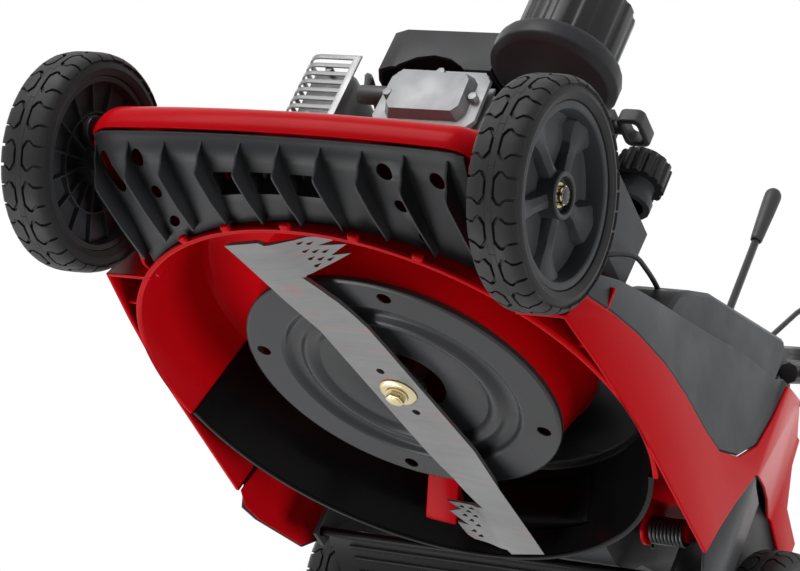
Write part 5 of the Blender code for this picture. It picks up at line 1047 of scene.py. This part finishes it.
# %% Grille: the curved place that it lies on
GRILLE_HALF, GRILLE_LENGTH, GRILLE_WALL = 0.180, 0.104, 0.0030
FIN_FIRST, FIN_PITCH, FIN_COUNT = -0.1863, 0.0396, 10
WINDOW_FINS = (3, 4, 5)
WALL_BULGE = ((0, -0.001), (0.07, 0.001), (0.15, 0.0045), (0.23, 0.0058), (0.32, 0.0042),
              (0.58, -0.0018), (0.92, -0.0081), (1.02, -0.010))
WALL_FALL = ((0, 0), (0.07, -0.0015), (0.15, -0.003), (0.23, -0.0043), (0.32, -0.005),
             (0.58, -0.006), (0.92, -0.009), (1.05, -0.010))
FIN_CREST = ((0.055, -0.001), (0.072, 0.0015), (0.10, 0.0045), (0.13, 0.0083), (0.16, 0.0115),
             (0.20, 0.0140), (0.235, 0.0172), (0.262, 0.0205), (0.29, 0.0226), (0.32, 0.0232),
             (0.36, 0.0222), (0.652, 0.0125), (0.95, 0.0), (1.10, -0.0052))
HANG = Vector((0, -0.39, -0.92))


def grille_share(x):
    """How strongly the wall falls back, which grows from its right end to its left one."""
    return max(0.0, (x / GRILLE_HALF + 0.6) / 1.3)


def wall_depth(x, t):
    return lookup(WALL_BULGE, t) + lookup(WALL_FALL, t) * grille_share(x)


def grille_point(x, t, depth):
    """x across, t from lip to rim, depth below the straight line between them."""
    angle = math.radians(NOSE_ARC[1] + 11)
    reach = NOSE_RADIUS + 0.0008
    lip = Vector((x * 1.015, NOSE_Y + nose_y(x) + reach * math.cos(angle),
                  NOSE_HEIGHT + reach * math.sin(angle)))
    rim = CHAMBER_RADIUS + DECK_WALL + 0.0038
    foot = Vector((x * 0.985, -math.sqrt(rim ** 2 - (x * 0.985) ** 2), 0.0))
    return lip + (foot - lip) * t + HANG * depth


def fin_place(index):
    return FIN_FIRST + FIN_PITCH * index + (0.0 if index else 0.0008)


# %% Grille: wall with its holes and windows
def oval(x, t, width, height):
    return [(x + width / 2 * u, t * GRILLE_LENGTH + height / 2 * v)
            for u, v in circle((0, 0), 1, 20)]


def window(index):
    left, right = fin_place(index) + 0.0018, fin_place(index + 1) - 0.0018
    low, top = 0.385 * GRILLE_LENGTH, 0.66 * GRILLE_LENGTH
    corner = 0.0035
    return (arc((left + corner, low + corner), corner, 180, 270, 5)
            + arc((right - corner, low + corner), corner, 270, 360, 5)
            + arc((right - corner, top - corner), corner, 0, 90, 5)
            + arc((left + corner, top - corner), corner, 90, 180, 5))


def keyhole():
    near, far = (-0.1775, 0.175 * GRILLE_LENGTH), (-0.1730, 0.40 * GRILLE_LENGTH)
    return arc(near, 0.0056, 185, 355, 10) + arc(far, 0.0056, 5, 175, 10)


DRAINS = ((-0.139, 0.20, 0.013, 0.016), (-0.136, 0.525, 0.011, 0.013),
          (-0.132, 0.825, 0.013, 0.011), (0.110, 0.225, 0.014, 0.017),
          (0.113, 0.575, 0.011, 0.013), (0.124, 0.875, 0.011, 0.012),
          (0.157, 0.225, 0.013, 0.014))
WALL_CREASES = (0.035, 0.07, 0.11, 0.15, 0.19, 0.23, 0.275, 0.32, 0.45, 0.58, 0.75, 0.92)


def grille_wall():
    side, end = 0.1845, GRILLE_LENGTH * 1.01
    loops = [[(-side, 0), (side, 0), (side, end), (-side, end)], keyhole()]
    loops += [oval(*drain) for drain in DRAINS] + [window(index) for index in WINDOW_FINS]
    bm = slab(loops, 0.0, GRILLE_WALL)
    creased(bm, "X", [step * 0.0125 for step in range(-14, 15)])
    creased(bm, "Y", [t * GRILLE_LENGTH for t in WALL_CREASES])
    for vert in no_large_faces(bm).verts:
        x, t = vert.co.x, vert.co.y / GRILLE_LENGTH
        vert.co = grille_point(x, t, wall_depth(x, t) - vert.co.z)
    return soften(tidy_normals(bm), 0.0007, 2, 50)


# %% Grille: fins, and the dark backs of the windows
CREST_FALL = ((0.07, 0), (0.32, -0.005), (0.65, -0.0075), (0.95, -0.010))
BACK_DEPTHS = ((0.36, -0.024), (0.50, -0.023), (0.60, -0.018), (0.66, -0.0125), (0.70, -0.0070))
FIN_HALF = 0.0012


def grille_fin(index):
    """A fin from crest to root; beside a window its root reaches further back."""
    x = fin_place(index)
    share = grille_share(x)
    end = min(1.0, 0.945 + 0.14 * share)
    places = [t for t, depth in FIN_CREST if t < end] + [end]
    crest = [(t, lookup(FIN_CREST, t) + share * lookup(CREST_FALL, t)) for t in places]
    back = 0.020 if index - 1 in WINDOW_FINS or index in WINDOW_FINS else 0.0
    root = [(end - 0.02, wall_depth(x, end - 0.02) - 0.001)]
    root += [(t, wall_depth(x, t) - 0.0012 - extra) for t, extra in
             ((0.80, 0), (0.67, 0), (0.62, back * 0.8), (0.40, back), (0.37, 0), (0.23, 0),
              (0.12, 0))]
    bm = slab([[(t * GRILLE_LENGTH, depth) for t, depth in crest + root]], -FIN_HALF, FIN_HALF)
    for vert in bm.verts:
        vert.co = grille_point(x + vert.co.z, vert.co.x / GRILLE_LENGTH, vert.co.y)
    return soften(tidy_normals(bm), 0.0008, 2, 60)


def window_back():
    """A thin dark shell behind the three windows, which closes the view through them."""
    first, last = fin_place(WINDOW_FINS[0]), fin_place(WINDOW_FINS[-1] + 1)

    def place(u, v):
        x, t = first + (last - first) * u, 0.36 + 0.34 * v
        fall = lookup(WALL_FALL, t) * grille_share(x)
        return grille_point(x, t, lookup(BACK_DEPTHS, t) + fall - 0.0035)
    return walled(sheet(20, 12, place), 0.0015, (0, 0.4, 0.9))


keep("grille_wall", grille_wall(), "grained_black_plastic", "chassis", ["front_baffle"])
keep("grille_fins", merged(*[grille_fin(i) for i in range(FIN_COUNT)]), "grained_black_plastic",
     "chassis", ["front_baffle"])
keep("grille_window_back", window_back(), "grained_black_plastic", "chassis", ["front_baffle"])


# %% [markdown]
# ## Wheels
# The tyre is a lathe-turned carcass with a tread of raised blocks. One pitch of the tread is drawn
# flat: a centre band with two arms, and a block on each side between the arms. It is cut into
# narrow strips, wrapped round the carcass by one rule that also carries it over the shoulder, and
# repeated round the wheel.

# %% Tyre: the line of its crown
TYRE_RADIUS, TREAD_PITCHES, TREAD_DEPTH = 0.1009, 17, 0.0026
PITCH_LENGTH = 2 * math.pi * TYRE_RADIUS / TREAD_PITCHES
CROWN = ((0.0, 0.0, 0.1009), (0.010, 0.010, 0.1007), (0.0165, 0.0164, 0.0999),
         (0.0200, 0.0196, 0.0985), (0.0235, 0.0223, 0.0963), (0.0270, 0.0239, 0.0932),
         (0.0300, 0.0244, 0.0903))
CROWN_X = [(across, x) for across, x, radius in CROWN]
CROWN_RADIUS = [(across, radius) for across, x, radius in CROWN]
CROWN_STEP = 0.002


def crown_point(across, rise):
    """Place on the tyre's section: across is measured along the tread, rise from its top."""
    side = -1 if across < 0 else 1
    reach = abs(across)
    ahead, behind = min(reach + CROWN_STEP, CROWN[-1][0]), max(reach - CROWN_STEP, 0.0)
    run = lookup(CROWN_X, ahead) - lookup(CROWN_X, behind)
    fall = lookup(CROWN_RADIUS, ahead) - lookup(CROWN_RADIUS, behind)
    size = math.hypot(run, fall)
    return (side * (lookup(CROWN_X, reach) - fall / size * rise),
            lookup(CROWN_RADIUS, reach) + run / size * rise)


print("pitch of the tread:", round(PITCH_LENGTH * 1000, 1), "mm")


# %% Tyre: one pitch of the tread, as places across it and shares of a pitch along it
TREAD_MIDDLE = [(0.0030, -0.5), (0.0030, -0.22), (0.0030, 0.0), (0.0030, 0.24), (0.0030, 0.5)]
TREAD_BLOCK = [(0.0052, -0.16), (0.0090, -0.30), (0.0105, -0.305), (0.0150, -0.20),
               (0.0190, -0.185), (0.0262, -0.200), (0.0262, 0.235), (0.0190, 0.215),
               (0.0150, 0.225), (0.0105, 0.335), (0.0090, 0.330), (0.0052, 0.18)]
TREAD_ARM = [(0.0029, 0.24), (0.0070, 0.395), (0.0105, 0.410), (0.0150, 0.300), (0.0190, 0.290),
             (0.0252, 0.300), (0.0252, 0.5), (0.0252, 0.730), (0.0190, 0.738), (0.0150, 0.725),
             (0.0105, 0.615), (0.0070, 0.635), (0.0029, 0.78)]
TREAD_ROOT = -TREAD_DEPTH - 0.0006
STRIPS_ACROSS = (0.0, 0.010, 0.0145, 0.018, 0.0205, 0.0225, 0.0245)
STRIPS_ALONG = (-0.42, -0.25, -0.08, 0.08, 0.25, 0.42)


def wrapped(bm):
    """Wrap a flat tread piece round the tyre's axle, which lies along X."""
    for vert in bm.verts:
        x, radius = crown_point(vert.co.x, vert.co.z)
        angle = vert.co.y / TYRE_RADIUS
        vert.co = Vector((x, radius * math.sin(angle), radius * math.cos(angle)))
    return tidy_normals(bm)


def tread_piece(loop):
    bm = slab([[(u, v * PITCH_LENGTH) for u, v in loop]], TREAD_ROOT, 0.0)
    creased(bm, "X", both_ways(STRIPS_ACROSS))
    creased(bm, "Y", [v * PITCH_LENGTH for v in STRIPS_ALONG])
    return soften(wrapped(no_large_faces(bm)), 0.0004, 1, 50)


def tread():
    """One pitch from its band, blocks and arms, repeated round the wheel."""
    pieces = [tread_piece(TREAD_MIDDLE + [(-u, v) for u, v in TREAD_MIDDLE[::-1]])]
    for side in (1, -1):
        for loop in (TREAD_BLOCK, TREAD_ARM):
            pieces.append(tread_piece([(side * u, v) for u, v in loop]))
    pitch, turn = merged(*pieces), 360 / TREAD_PITCHES
    copies = [turned_about(pitch.copy(), turn * i, "X") for i in range(1, TREAD_PITCHES)]
    return merged(pitch, *copies)


# %% Tyre: its carcass
def carcass():
    crown = [crown_point(s / 1000, -TREAD_DEPTH) for s in (0, 5, 10, 16.5, 20, 23.5, 27)]
    side = [(radius, x) for x, radius in crown]
    side += [(0.0905, 0.0226), (0.0885, 0.0233), (0.0865, 0.0236), (0.0850, 0.0228),
             (0.0832, 0.0224), (0.0815, 0.0216), (0.0802, 0.0206), (0.0799, 0.0190)]
    return spun(side + [(radius, -x) for radius, x in side[::-1]], 90, "X", closed=True)


def tyre():
    return merged(carcass(), tread())


# %% [markdown]
# The rim is one grey moulding: a hub, a web, and a barrel that the tyre sits on, with five spokes
# that widen outwards into forks. What is round is turned as one section. A spoke is a plate whose
# face is pressed into a ridge, and the thin ribs on the inner side are one ring and fifteen blocks.

# %% Rim: barrel, spokes and ribs
SPOKES, RAYS = 5, 15
SPOKE_RIDGE = ((0.017, 0.0150), (0.030, 0.0128), (0.042, 0.0108), (0.055, 0.0092), (0.072, 0.0135))
SPOKE_WIDTH = ((0.040, 0.0085), (0.050, 0.0110), (0.0665, 0.0235))


def rim_barrel():
    section = [(0.0066, 0.0120), (0.0158, 0.0120), (0.0158, 0.0178), (0.0166, 0.0188),
               (0.0190, 0.0190), (0.0204, 0.0180), (0.0216, 0.0020), (0.0640, 0.0000),
               (0.0700, 0.0030), (0.0716, 0.0150), (0.0726, 0.0184), (0.0740, 0.0195),
               (0.0772, 0.0198), (0.0790, 0.0194), (0.0794, 0.0186), (0.0794, -0.0190),
               (0.0755, -0.0194), (0.0745, -0.0190), (0.0738, -0.0080), (0.0200, -0.0060),
               (0.0195, -0.0194), (0.0066, -0.0194)]
    return spun(section, 96, "X", closed=True)


def rim_spoke(index):
    """A wedge from the hub to the barrel that widens into a fork at its outer end."""
    outline = [(0.0085, 0.017), (0.0085, 0.040), (0.0110, 0.050), (0.0235, 0.0665),
               (0.0215, 0.0690), (0.0, 0.0722)]
    bm = slab([outline + [(-u, v) for u, v in outline[-2::-1]]], -0.001, 0.010)
    creased(creased(bm, "Y", (0.028, 0.040, 0.050, 0.060)), "X", (0,))
    for vert in bm.verts:
        if vert.co.z > 0.005:
            edge = min(1.0, abs(vert.co.x) / lookup(SPOKE_WIDTH, vert.co.y))
            vert.co.x *= 0.72
            vert.co.z = lookup(SPOKE_RIDGE, vert.co.y) - 0.0022 * edge ** 2
    soften(bm, 0.0009, 2, 30)
    bmesh.ops.transform(bm, matrix=PLANES["YZ"], verts=bm.verts)
    return turned_about(bm, 360 / SPOKES * index, "X")


def rim_ribs():
    """Thin ribs on the wheel's inner side: one ring and fifteen rays."""
    ring = spun([(0.0455, -0.005), (0.0455, -0.0125), (0.0470, -0.0125), (0.0470, -0.005)], 72, "X",
                closed=True)
    ray_low, ray_top = (-0.0125, -0.0007, 0.019), (-0.005, 0.0007, 0.0745)
    rays = [turned_about(block(ray_low, ray_top), 360 / RAYS * i, "X") for i in range(RAYS)]
    return merged(ring, *rays)


def rim():
    return merged(rim_barrel(), rim_ribs(), *[rim_spoke(index) for index in range(SPOKES)])


# %% [markdown]
# Each wheel is made at its own middle and then put in its place, and the right ones are mirrored,
# so that their outer sides face outwards. A plated nut with a collar holds each wheel on its axle.
# The nut stays with the arm, because it does not turn with the wheel.

# %% Wheels in their places, with a nut on each axle
def wheel_nut():
    nut = soften(slab([circle((0, 0), 0.0090, 6)], 0.0135, 0.0188, "YZ"), 0.0007, 2, 40)
    collar = rod(0.0112, 0.0124, 0.0137, "X", steps=32, chamfer=0.0004)
    thread = rod(0.0062, 0.0180, 0.01945, "X", chamfer=0.0006)
    return merged(nut, collar, thread)


def placed(bm, side, centre):
    """A part of a left wheel, mirrored for the right side and moved to its axle."""
    sided(bm, side)
    bmesh.ops.translate(bm, verts=bm.verts, vec=centre)
    return bm


for end, axle_y in (("front", FRONT_AXLE_Y), ("rear", REAR_AXLE_Y)):
    for hand, side in (("left", 1), ("right", -1)):
        label, centre = end + "_" + hand, (side * WHEEL_X, axle_y, AXLE_RISE)
        for node, shape, look in ((label + "_tyre", tyre(), "tyre_rubber"),
                                  (label + "_rim", rim(), "moulded_grey_plastic")):
            keep(node + "_moulding", placed(shape, side, centre), look, BODY_OF[node], [node], 30.0)
        keep(label + "_axle_nut", placed(wheel_nut(), side, centre), "zinc_plating",
             BODY_OF[end + "_arm_" + hand])


# %% [markdown]
# ## Caps and grips
# The filter cap and the fuel cap are turned by hand, so they are moulded with ridges for the
# fingers. Each is an outline with ridges, cut as a plate and rounded, with a turned crown on it.
# They are a little darker and glossier than the covers round them.

# %% Caps with ridges for the fingers
def smooth_step(value, low, high):
    """A share that eases in and out between two values."""
    share = min(1.0, max(0.0, (value - low) / (high - low)))
    return share * share * (3 - 2 * share)


def ridged(radius, depth, ridges, fullness=0.45, count=12):
    """Outline of a cap: flat ridges with grooves between them."""
    outline = []
    for i in range(ridges * count):
        turn = 2 * math.pi * i / count
        share = smooth_step(math.cos(turn) + fullness, -0.25, 0.25)
        outline.append(tuple(polar(radius - depth * (1 - share), math.degrees(turn) / ridges).xy))
    return outline


def cap(name, node, place, radius, depth, ridges, low, side, crown, edge):
    """A ridged skirt with a turned crown; crown is a line of (radius, height above the skirt)."""
    skirt = soften(slab([ridged(radius, depth, ridges)], low, low + side), edge, 3)
    bm = merged(skirt, spun([(across, low + side + rise) for across, rise in crown], 96))
    bmesh.ops.translate(bm, verts=bm.verts, vec=(*place, 0))
    return keep(name, bm, "cap_black_plastic", BODY_OF[node], [node], 40)


finish("cap_black_plastic", "black_plastic", (0.020, 0.020, 0.022), (0.017, 0.017, 0.019),
       (0.24, 0.34), 20.0, (1200.0, 240.0, 0.3, 0.05), ((0.07, 0.07, 0.073), 0.5),
       Specular_IOR_Level=0.22)
FILTER_CROWN = [(0, -0.003), (0.0440, -0.003), (0.0440, 0.0), (0.0425, 0.0035), (0.0400, 0.0065),
                (0.0375, 0.0080), (0.030, 0.0080), (0.027, 0.0062), (0, 0.0062)]
FUEL_CROWN = [(0, -0.002), (0.0235, -0.002), (0.0235, 0.0), (0.0225, 0.0022), (0.0205, 0.0030),
              (0.011, 0.0030), (0.0095, 0.0022), (0, 0.0022)]
cap("filter_cap", "air_filter_cover", place=(0.112, -0.145), radius=0.0500, depth=0.0016,
    ridges=14, low=0.3056, side=0.0690, crown=FILTER_CROWN, edge=0.0006)
cap("fuel_cap_moulding", "fuel_cap", place=(0.166, -0.022), radius=0.0265, depth=0.0026,
    ridges=14, low=0.2622, side=0.0265, crown=FUEL_CROWN, edge=0.0014)


# %% [markdown]
# The starter grip is a soft loop that a hand goes through, on a short stem that the rope comes out
# of. It is cut as a rounded frame, because its section is the same all round. The grip of the
# discharge lever is a slim club, so it is turned from one line of radius and height.

# %% Starter grip and the discharge lever's grip
STARTER_LOW, STARTER_TOP, STARTER_MIDDLE = 0.3420, 0.3580, 0.350
LEVER_GRIP_PLACE = (0.205, 0.166, 0)
GRIP_LINE = [(0, 0.4160), (0.0030, 0.4156), (0.0058, 0.4140), (0.0078, 0.4112), (0.0086, 0.4080),
             (0.0085, 0.4000), (0.0079, 0.3850), (0.0070, 0.3680), (0.0063, 0.3540),
             (0.0060, 0.3510), (0.0052, 0.3500), (0, 0.3500)]


def rounded_box(low, high, radius):
    """Outline of a rectangle with round corners."""
    corners = ((high[0], high[1], 0), (low[0], high[1], 90), (low[0], low[1], 180),
               (high[0], low[1], 270))
    outline = []
    for u, v, start in corners:
        centre = (u - math.copysign(radius, u - (low[0] + high[0]) / 2),
                  v - math.copysign(radius, v - (low[1] + high[1]) / 2))
        outline += arc(centre, radius, start, start + 90, 7)
    return outline


def starter_grip():
    loop = slab([rounded_box((0.1130, -0.0200), (0.1400, 0.0200), 0.0075),
                 rounded_box((0.1195, -0.0135), (0.1335, 0.0135), 0.0045)],
                STARTER_LOW, STARTER_TOP)
    stem = rod(0.0075, 0.1045, 0.1160, "X", (0, 0, STARTER_MIDDLE), 24, 0.001)
    return merged(soften(loop, 0.0030, 4), stem)


keep("starter_grip_loop", starter_grip(), "soft_rubber", BODY_OF["starter_grip"],
     ["starter_grip"], 45)
keep("lever_grip_moulding", spun(GRIP_LINE, 48, "Z", LEVER_GRIP_PLACE), "soft_rubber",
     BODY_OF["lever_grip"], ["lever_grip"], 50)


# %% [markdown]
# ## Trailing shield and its spring
# The shield is a smooth black panel that hangs behind the deck and stops stones. It is stiffened
# by ribs across it, which show from below as thin bars. The panel keeps its CAD shape, and each rib
# is a bar with pointed ends that lies in the panel's curve. A coil spring presses the shield down:
# it is one wire, wound round the pin of its hanger, with a leg at each end.

# %% Bars and wires that follow a path
def path_frames(points):
    """Square frames along a path that turn as little as possible."""
    ahead = [(b - a).normalized() for a, b in zip(points, points[1:])]
    tangents = [ahead[0]] + [(a + b).normalized() for a, b in zip(ahead, ahead[1:])] + [ahead[-1]]
    frames, side = [], tangents[0].orthogonal().normalized()
    for point, tangent in zip(points, tangents):
        side = (side - tangent * side.dot(tangent)).normalized()
        up = tangent.cross(side)
        turn = Matrix((side, up, tangent)).transposed().to_4x4()
        frames.append(Matrix.Translation(point) @ turn)
    return frames


def tube(points, radii, sides):
    """A round bar bent along a path: one circle, extruded from frame to frame."""
    points = [Vector(p) for p in points]
    frames = [f @ Matrix.Diagonal((r, r, 1, 1)) for f, r in zip(path_frames(points), radii)]
    bm = bmesh.new()
    bmesh.ops.create_circle(bm, cap_ends=False, segments=sides, radius=1.0, matrix=frames[0])
    first = rim = bm.edges[:]
    for before, after in zip(frames, frames[1:]):
        grown = bmesh.ops.extrude_edge_only(bm, edges=rim)["geom"]
        ring = {v for v in grown if isinstance(v, bmesh.types.BMVert)}
        rim = [e for e in grown if isinstance(e, bmesh.types.BMEdge) and set(e.verts) <= ring]
        bmesh.ops.transform(bm, matrix=after @ before.inverted(), verts=list(ring))
    for end in (first, rim):
        bmesh.ops.contextual_create(bm, geom=end)
    return tidy_normals(bm)


def bent(points, count):
    """A smooth path through points, by Catmull-Rom interpolation."""
    points = [Vector(p) for p in points]
    ends = [2 * points[0] - points[1]] + points + [2 * points[-1] - points[-2]]
    route = []
    for a, b, c, d in zip(ends, ends[1:], ends[2:], ends[3:]):
        for i in range(count):
            t = i / count
            route.append(0.5 * ((2 * b) + (c - a) * t + (2 * a - 5 * b + 4 * c - d) * t ** 2
                                + (3 * b - a - 3 * c + d) * t ** 3))
    return route + [points[-1]]


# %% Shield: its panel and its ribs
SHIELD_LINE = ((0.268, 0.012), (0.300, 0.006), (0.335, -0.005), (0.365, -0.021))
RIB_RADIUS, RIB_POINT_RADIUS, RIB_POINT = 0.0042, 0.0015, 0.004


def shield_ribs():
    """Bars across the shield at even steps of its curve, shorter than the panel."""
    start, end = [corner.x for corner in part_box("trail_shield")]
    places = (start + 0.030, start + 0.030 + RIB_POINT, end - 0.055 - RIB_POINT, end - 0.055)
    radii = (RIB_POINT_RADIUS, RIB_RADIUS, RIB_RADIUS, RIB_POINT_RADIUS)
    return merged(*[tube([(x, spot.y, spot.z) for x in places], radii, 12)
                    for spot in bent([(0, y, z) for y, z in SHIELD_LINE], 2)[1:]])


refined("trail_shield", "gloss_black_plastic")
keep("trail_shield_ribs", shield_ribs(), "gloss_black_plastic", BODY_OF["trail_shield"])


# %% Shield: its spring, and the lever in the same steel
CURLS, CURL_STEPS, CURL_PITCH, CURL_RADIUS, WIRE_RADIUS = 9, 24, 0.0040, 0.0120, 0.00182
LEG = 0.014


def spring_wire():
    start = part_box("shield_spring")[0].x + 0.0014
    wound = []
    for i in range(CURLS * CURL_STEPS + 1):
        turn = math.tau * i / CURL_STEPS
        wound.append((start + CURL_PITCH * i / CURL_STEPS, SPRING_Y + CURL_RADIUS * math.cos(turn),
                      SPRING_Z + CURL_RADIUS * math.sin(turn)))
    first, last = wound[0], wound[-1]
    route = [(*first[:2], SPRING_Z - LEG)] + wound + [(*last[:2], SPRING_Z + LEG)]
    print("the spring's wire follows", len(route), "points")
    return tube(route, [WIRE_RADIUS] * len(route), 10)


finish("oiled_spring_steel", "bright_steel", (0.050, 0.051, 0.054), (0.040, 0.041, 0.043),
       (0.26, 0.38), 60.0, (1500.0, 300.0, 0.3, 0.03), None, Metallic=0.5, Specular_IOR_Level=0.3)
keep("shield_spring_wire", spring_wire(), "oiled_spring_steel", BODY_OF["shield_spring"],
     ["shield_spring"], 50)
refined("discharge_lever", "oiled_spring_steel")


# %% [markdown]
# ## Inner wall at the right rear
# Behind the bowl, on the right, the casting comes down once more as a red wall, which closes the
# view to the rear wheel. It is one plate that is cut to its outline and bent to the same flare as
# the flanks, so that it lies beside the arch's black cover.

# %% Inner wall at the right rear
APRON_LINE = [(0.186, -0.001), (0.206, -0.008), (0.236, -0.003), (0.296, 0.008), (0.308, 0.022),
              (0.304, 0.060), (0.284, 0.098), (0.250, 0.104), (0.226, 0.100), (0.206, 0.070)]
APRON_FACE, APRON_WALL = -DECK_WALL - 0.0036, 0.0016
apron = bent_to_flare(slab([APRON_LINE], APRON_FACE - APRON_WALL, APRON_FACE, "YZ"))
keep("deck_rear_apron", sided(soften(apron, 0.0006), -1), "deck_red_paint", BODY_OF["deck_shell"])


# %% [markdown]
# ## Floor, lamps and camera
# The mower stands on a pale floor, but the photograph looks up at it from below. So the floor shows
# only from above: to every other ray it is clear, and the lamps under it light the open deck. The
# world is white where the camera and shiny surfaces see it, and softer where it lights the object.

# %% Floor
FLOOR_REACH, WORLD_LEVEL = 6.0, 0.12


def make_floor():
    bm = bmesh.new()
    bmesh.ops.create_grid(bm, x_segments=2, y_segments=2, size=FLOOR_REACH)
    mesh = bpy.data.meshes.new("studio_floor")
    bm.to_mesh(mesh)
    bm.free()
    floor = bpy.data.objects.new("studio_floor", mesh)
    bpy.context.scene.collection.objects.link(floor)
    look = bpy.data.materials.new("pale_floor")
    look.use_nodes = True
    tree = look.node_tree
    paint = tree.nodes["Principled BSDF"]
    paint.inputs["Base Color"].default_value = (0.86, 0.86, 0.86, 1)
    paint.inputs["Roughness"].default_value = 0.9
    paint.inputs["Specular IOR Level"].default_value = 0.1
    clear = add(tree, "ShaderNodeBsdfTransparent")
    path = add(tree, "ShaderNodeLightPath")
    face = add(tree, "ShaderNodeNewGeometry")
    front = add(tree, "ShaderNodeMath", [(0, 1.0), (1, face.outputs["Backfacing"])],
                operation="SUBTRACT")
    shown = add(tree, "ShaderNodeMath", [(0, path.outputs["Is Camera Ray"]), (1, front.outputs[0])],
                operation="MULTIPLY")
    mix = add(tree, "ShaderNodeMixShader", [("Fac", shown.outputs[0]), (1, clear.outputs[0]),
                                            (2, paint.outputs[0])])
    tree.links.new(mix.outputs[0], tree.nodes["Material Output"].inputs["Surface"])
    mesh.materials.append(look)


make_floor()


# %% World
def make_world():
    world = bpy.data.worlds.new("white_studio")
    world.use_nodes = True
    bpy.context.scene.world = world
    tree = world.node_tree
    seen = tree.nodes["Background"]
    seen.inputs["Color"].default_value = (1, 1, 1, 1)
    seen.inputs["Strength"].default_value = 1.0
    soft = add(tree, "ShaderNodeBackground", [("Color", (1, 1, 1, 1)),
                                              ("Strength", WORLD_LEVEL)])
    path = add(tree, "ShaderNodeLightPath")
    shiny = add(tree, "ShaderNodeMath", [(0, path.outputs["Is Glossy Ray"]),
                                         (1, path.outputs["Is Transmission Ray"])],
                operation="MAXIMUM")
    white = add(tree, "ShaderNodeMath", [(0, path.outputs["Is Camera Ray"]), (1, shiny.outputs[0])],
                operation="MAXIMUM")
    mix = add(tree, "ShaderNodeMixShader", [("Fac", white.outputs[0]), (1, soft.outputs[0]),
                                            (2, seen.outputs[0])])
    tree.links.new(mix.outputs[0], tree.nodes["World Output"].inputs["Surface"])


make_world()


# %% [markdown]
# Five square lamps light it, with left and right as the picture shows them. One stands low on the
# right and one below, which opens the bowl; the others stand high in front, behind and at the left.
# Two of them don't show in reflections, where they would lay a pale veil on the red paint and the
# black covers.

# %% Lamps
def softbox(name, place, aim, size, power, glossy=True):
    """A square lamp that looks at a point; size in metres, power in watts."""
    lamp = bpy.data.lights.new(name, "AREA")
    lamp.shape = "SQUARE"
    lamp.size = size
    lamp.energy = power
    holder = bpy.data.objects.new(name, lamp)
    bpy.context.scene.collection.objects.link(holder)
    holder.visible_glossy = glossy
    turn = (Vector(aim) - Vector(place)).normalized().to_track_quat("-Z", "Y")
    holder.matrix_world = Matrix.Translation(place) @ turn.to_matrix().to_4x4()
    print("lamp", name, "of", power, "W")


softbox("key_right_low", (2.5, -0.1, -0.75), (0, -0.30, 0.1), 1.1, 32, False)
softbox("below_left", (-1.25, -0.35, -1.9), (0, -0.45, 0.1), 1.5, 40)
softbox("front_high", (-0.9, -2.6, 1.4), (0, -0.5, 0.3), 1.6, 58)
softbox("top_back", (0.9, 1.6, 2.4), (0, 0.0, 0.4), 1.8, 50, False)
softbox("side_left", (-2.4, 0.4, 1.0), (0, 0.0, 0.3), 1.4, 18)


# %% [markdown]
# The camera was solved from the photograph: the wheels' rims and the blade give its place and its
# lens. It sits in front of the mower, on its left side, looks up from below the floor's level, and
# is rolled, because the machine was tipped up for the picture.

# %% Camera
CAMERA_PLACE, LENS = (1.3532, -2.40299, -1.2436), 132.57
CAMERA_ACROSS, CAMERA_BACK = (0.8653, 0.3493, 0.3595), (0.4952, -0.7065, -0.5056)


def make_camera():
    lens = bpy.data.cameras.new("studio_camera")
    lens.sensor_fit = "HORIZONTAL"
    lens.sensor_width = 36.0
    lens.lens = LENS
    lens.clip_start, lens.clip_end = 0.05, 50.0
    camera = bpy.data.objects.new("studio_camera", lens)
    bpy.context.scene.collection.objects.link(camera)
    across, back = Vector(CAMERA_ACROSS).normalized(), Vector(CAMERA_BACK)
    back = (back - across * back.dot(across)).normalized()
    turn = Matrix((across, back.cross(across), back)).transposed().to_4x4()
    camera.matrix_world = Matrix.Translation(CAMERA_PLACE) @ turn
    bpy.context.scene.camera = camera
    bpy.context.scene.view_settings.view_transform = "Standard"


make_camera()


# %% [markdown]
# ## Finishes of the solids underneath
# Every CAD solid has a piece that stands for it. The solids still get the finish of their slot, so
# that whoever takes a piece away sees the solid under it in its own colour.

# %% Finish the solids underneath
LOOKS = {"red_paint": "deck_red_paint", "black_plastic": "grained_black_plastic",
         "gloss_plastic": "gloss_black_plastic", "grey_plastic": "moulded_grey_plastic",
         "black_paint": "satin_black_paint", "handle_paint": "handle_black_paint",
         "zinc": "zinc_plating", "cast_metal": "cast_aluminium", "guard_metal": "guard_steel"}
for row in frame["record"]["subparts"]:
    solid = frame["nodes"][row["node"]].data
    solid.materials.clear()
    solid.materials.append(MATERIALS[LOOKS.get(row["material_slot"], row["material_slot"])])
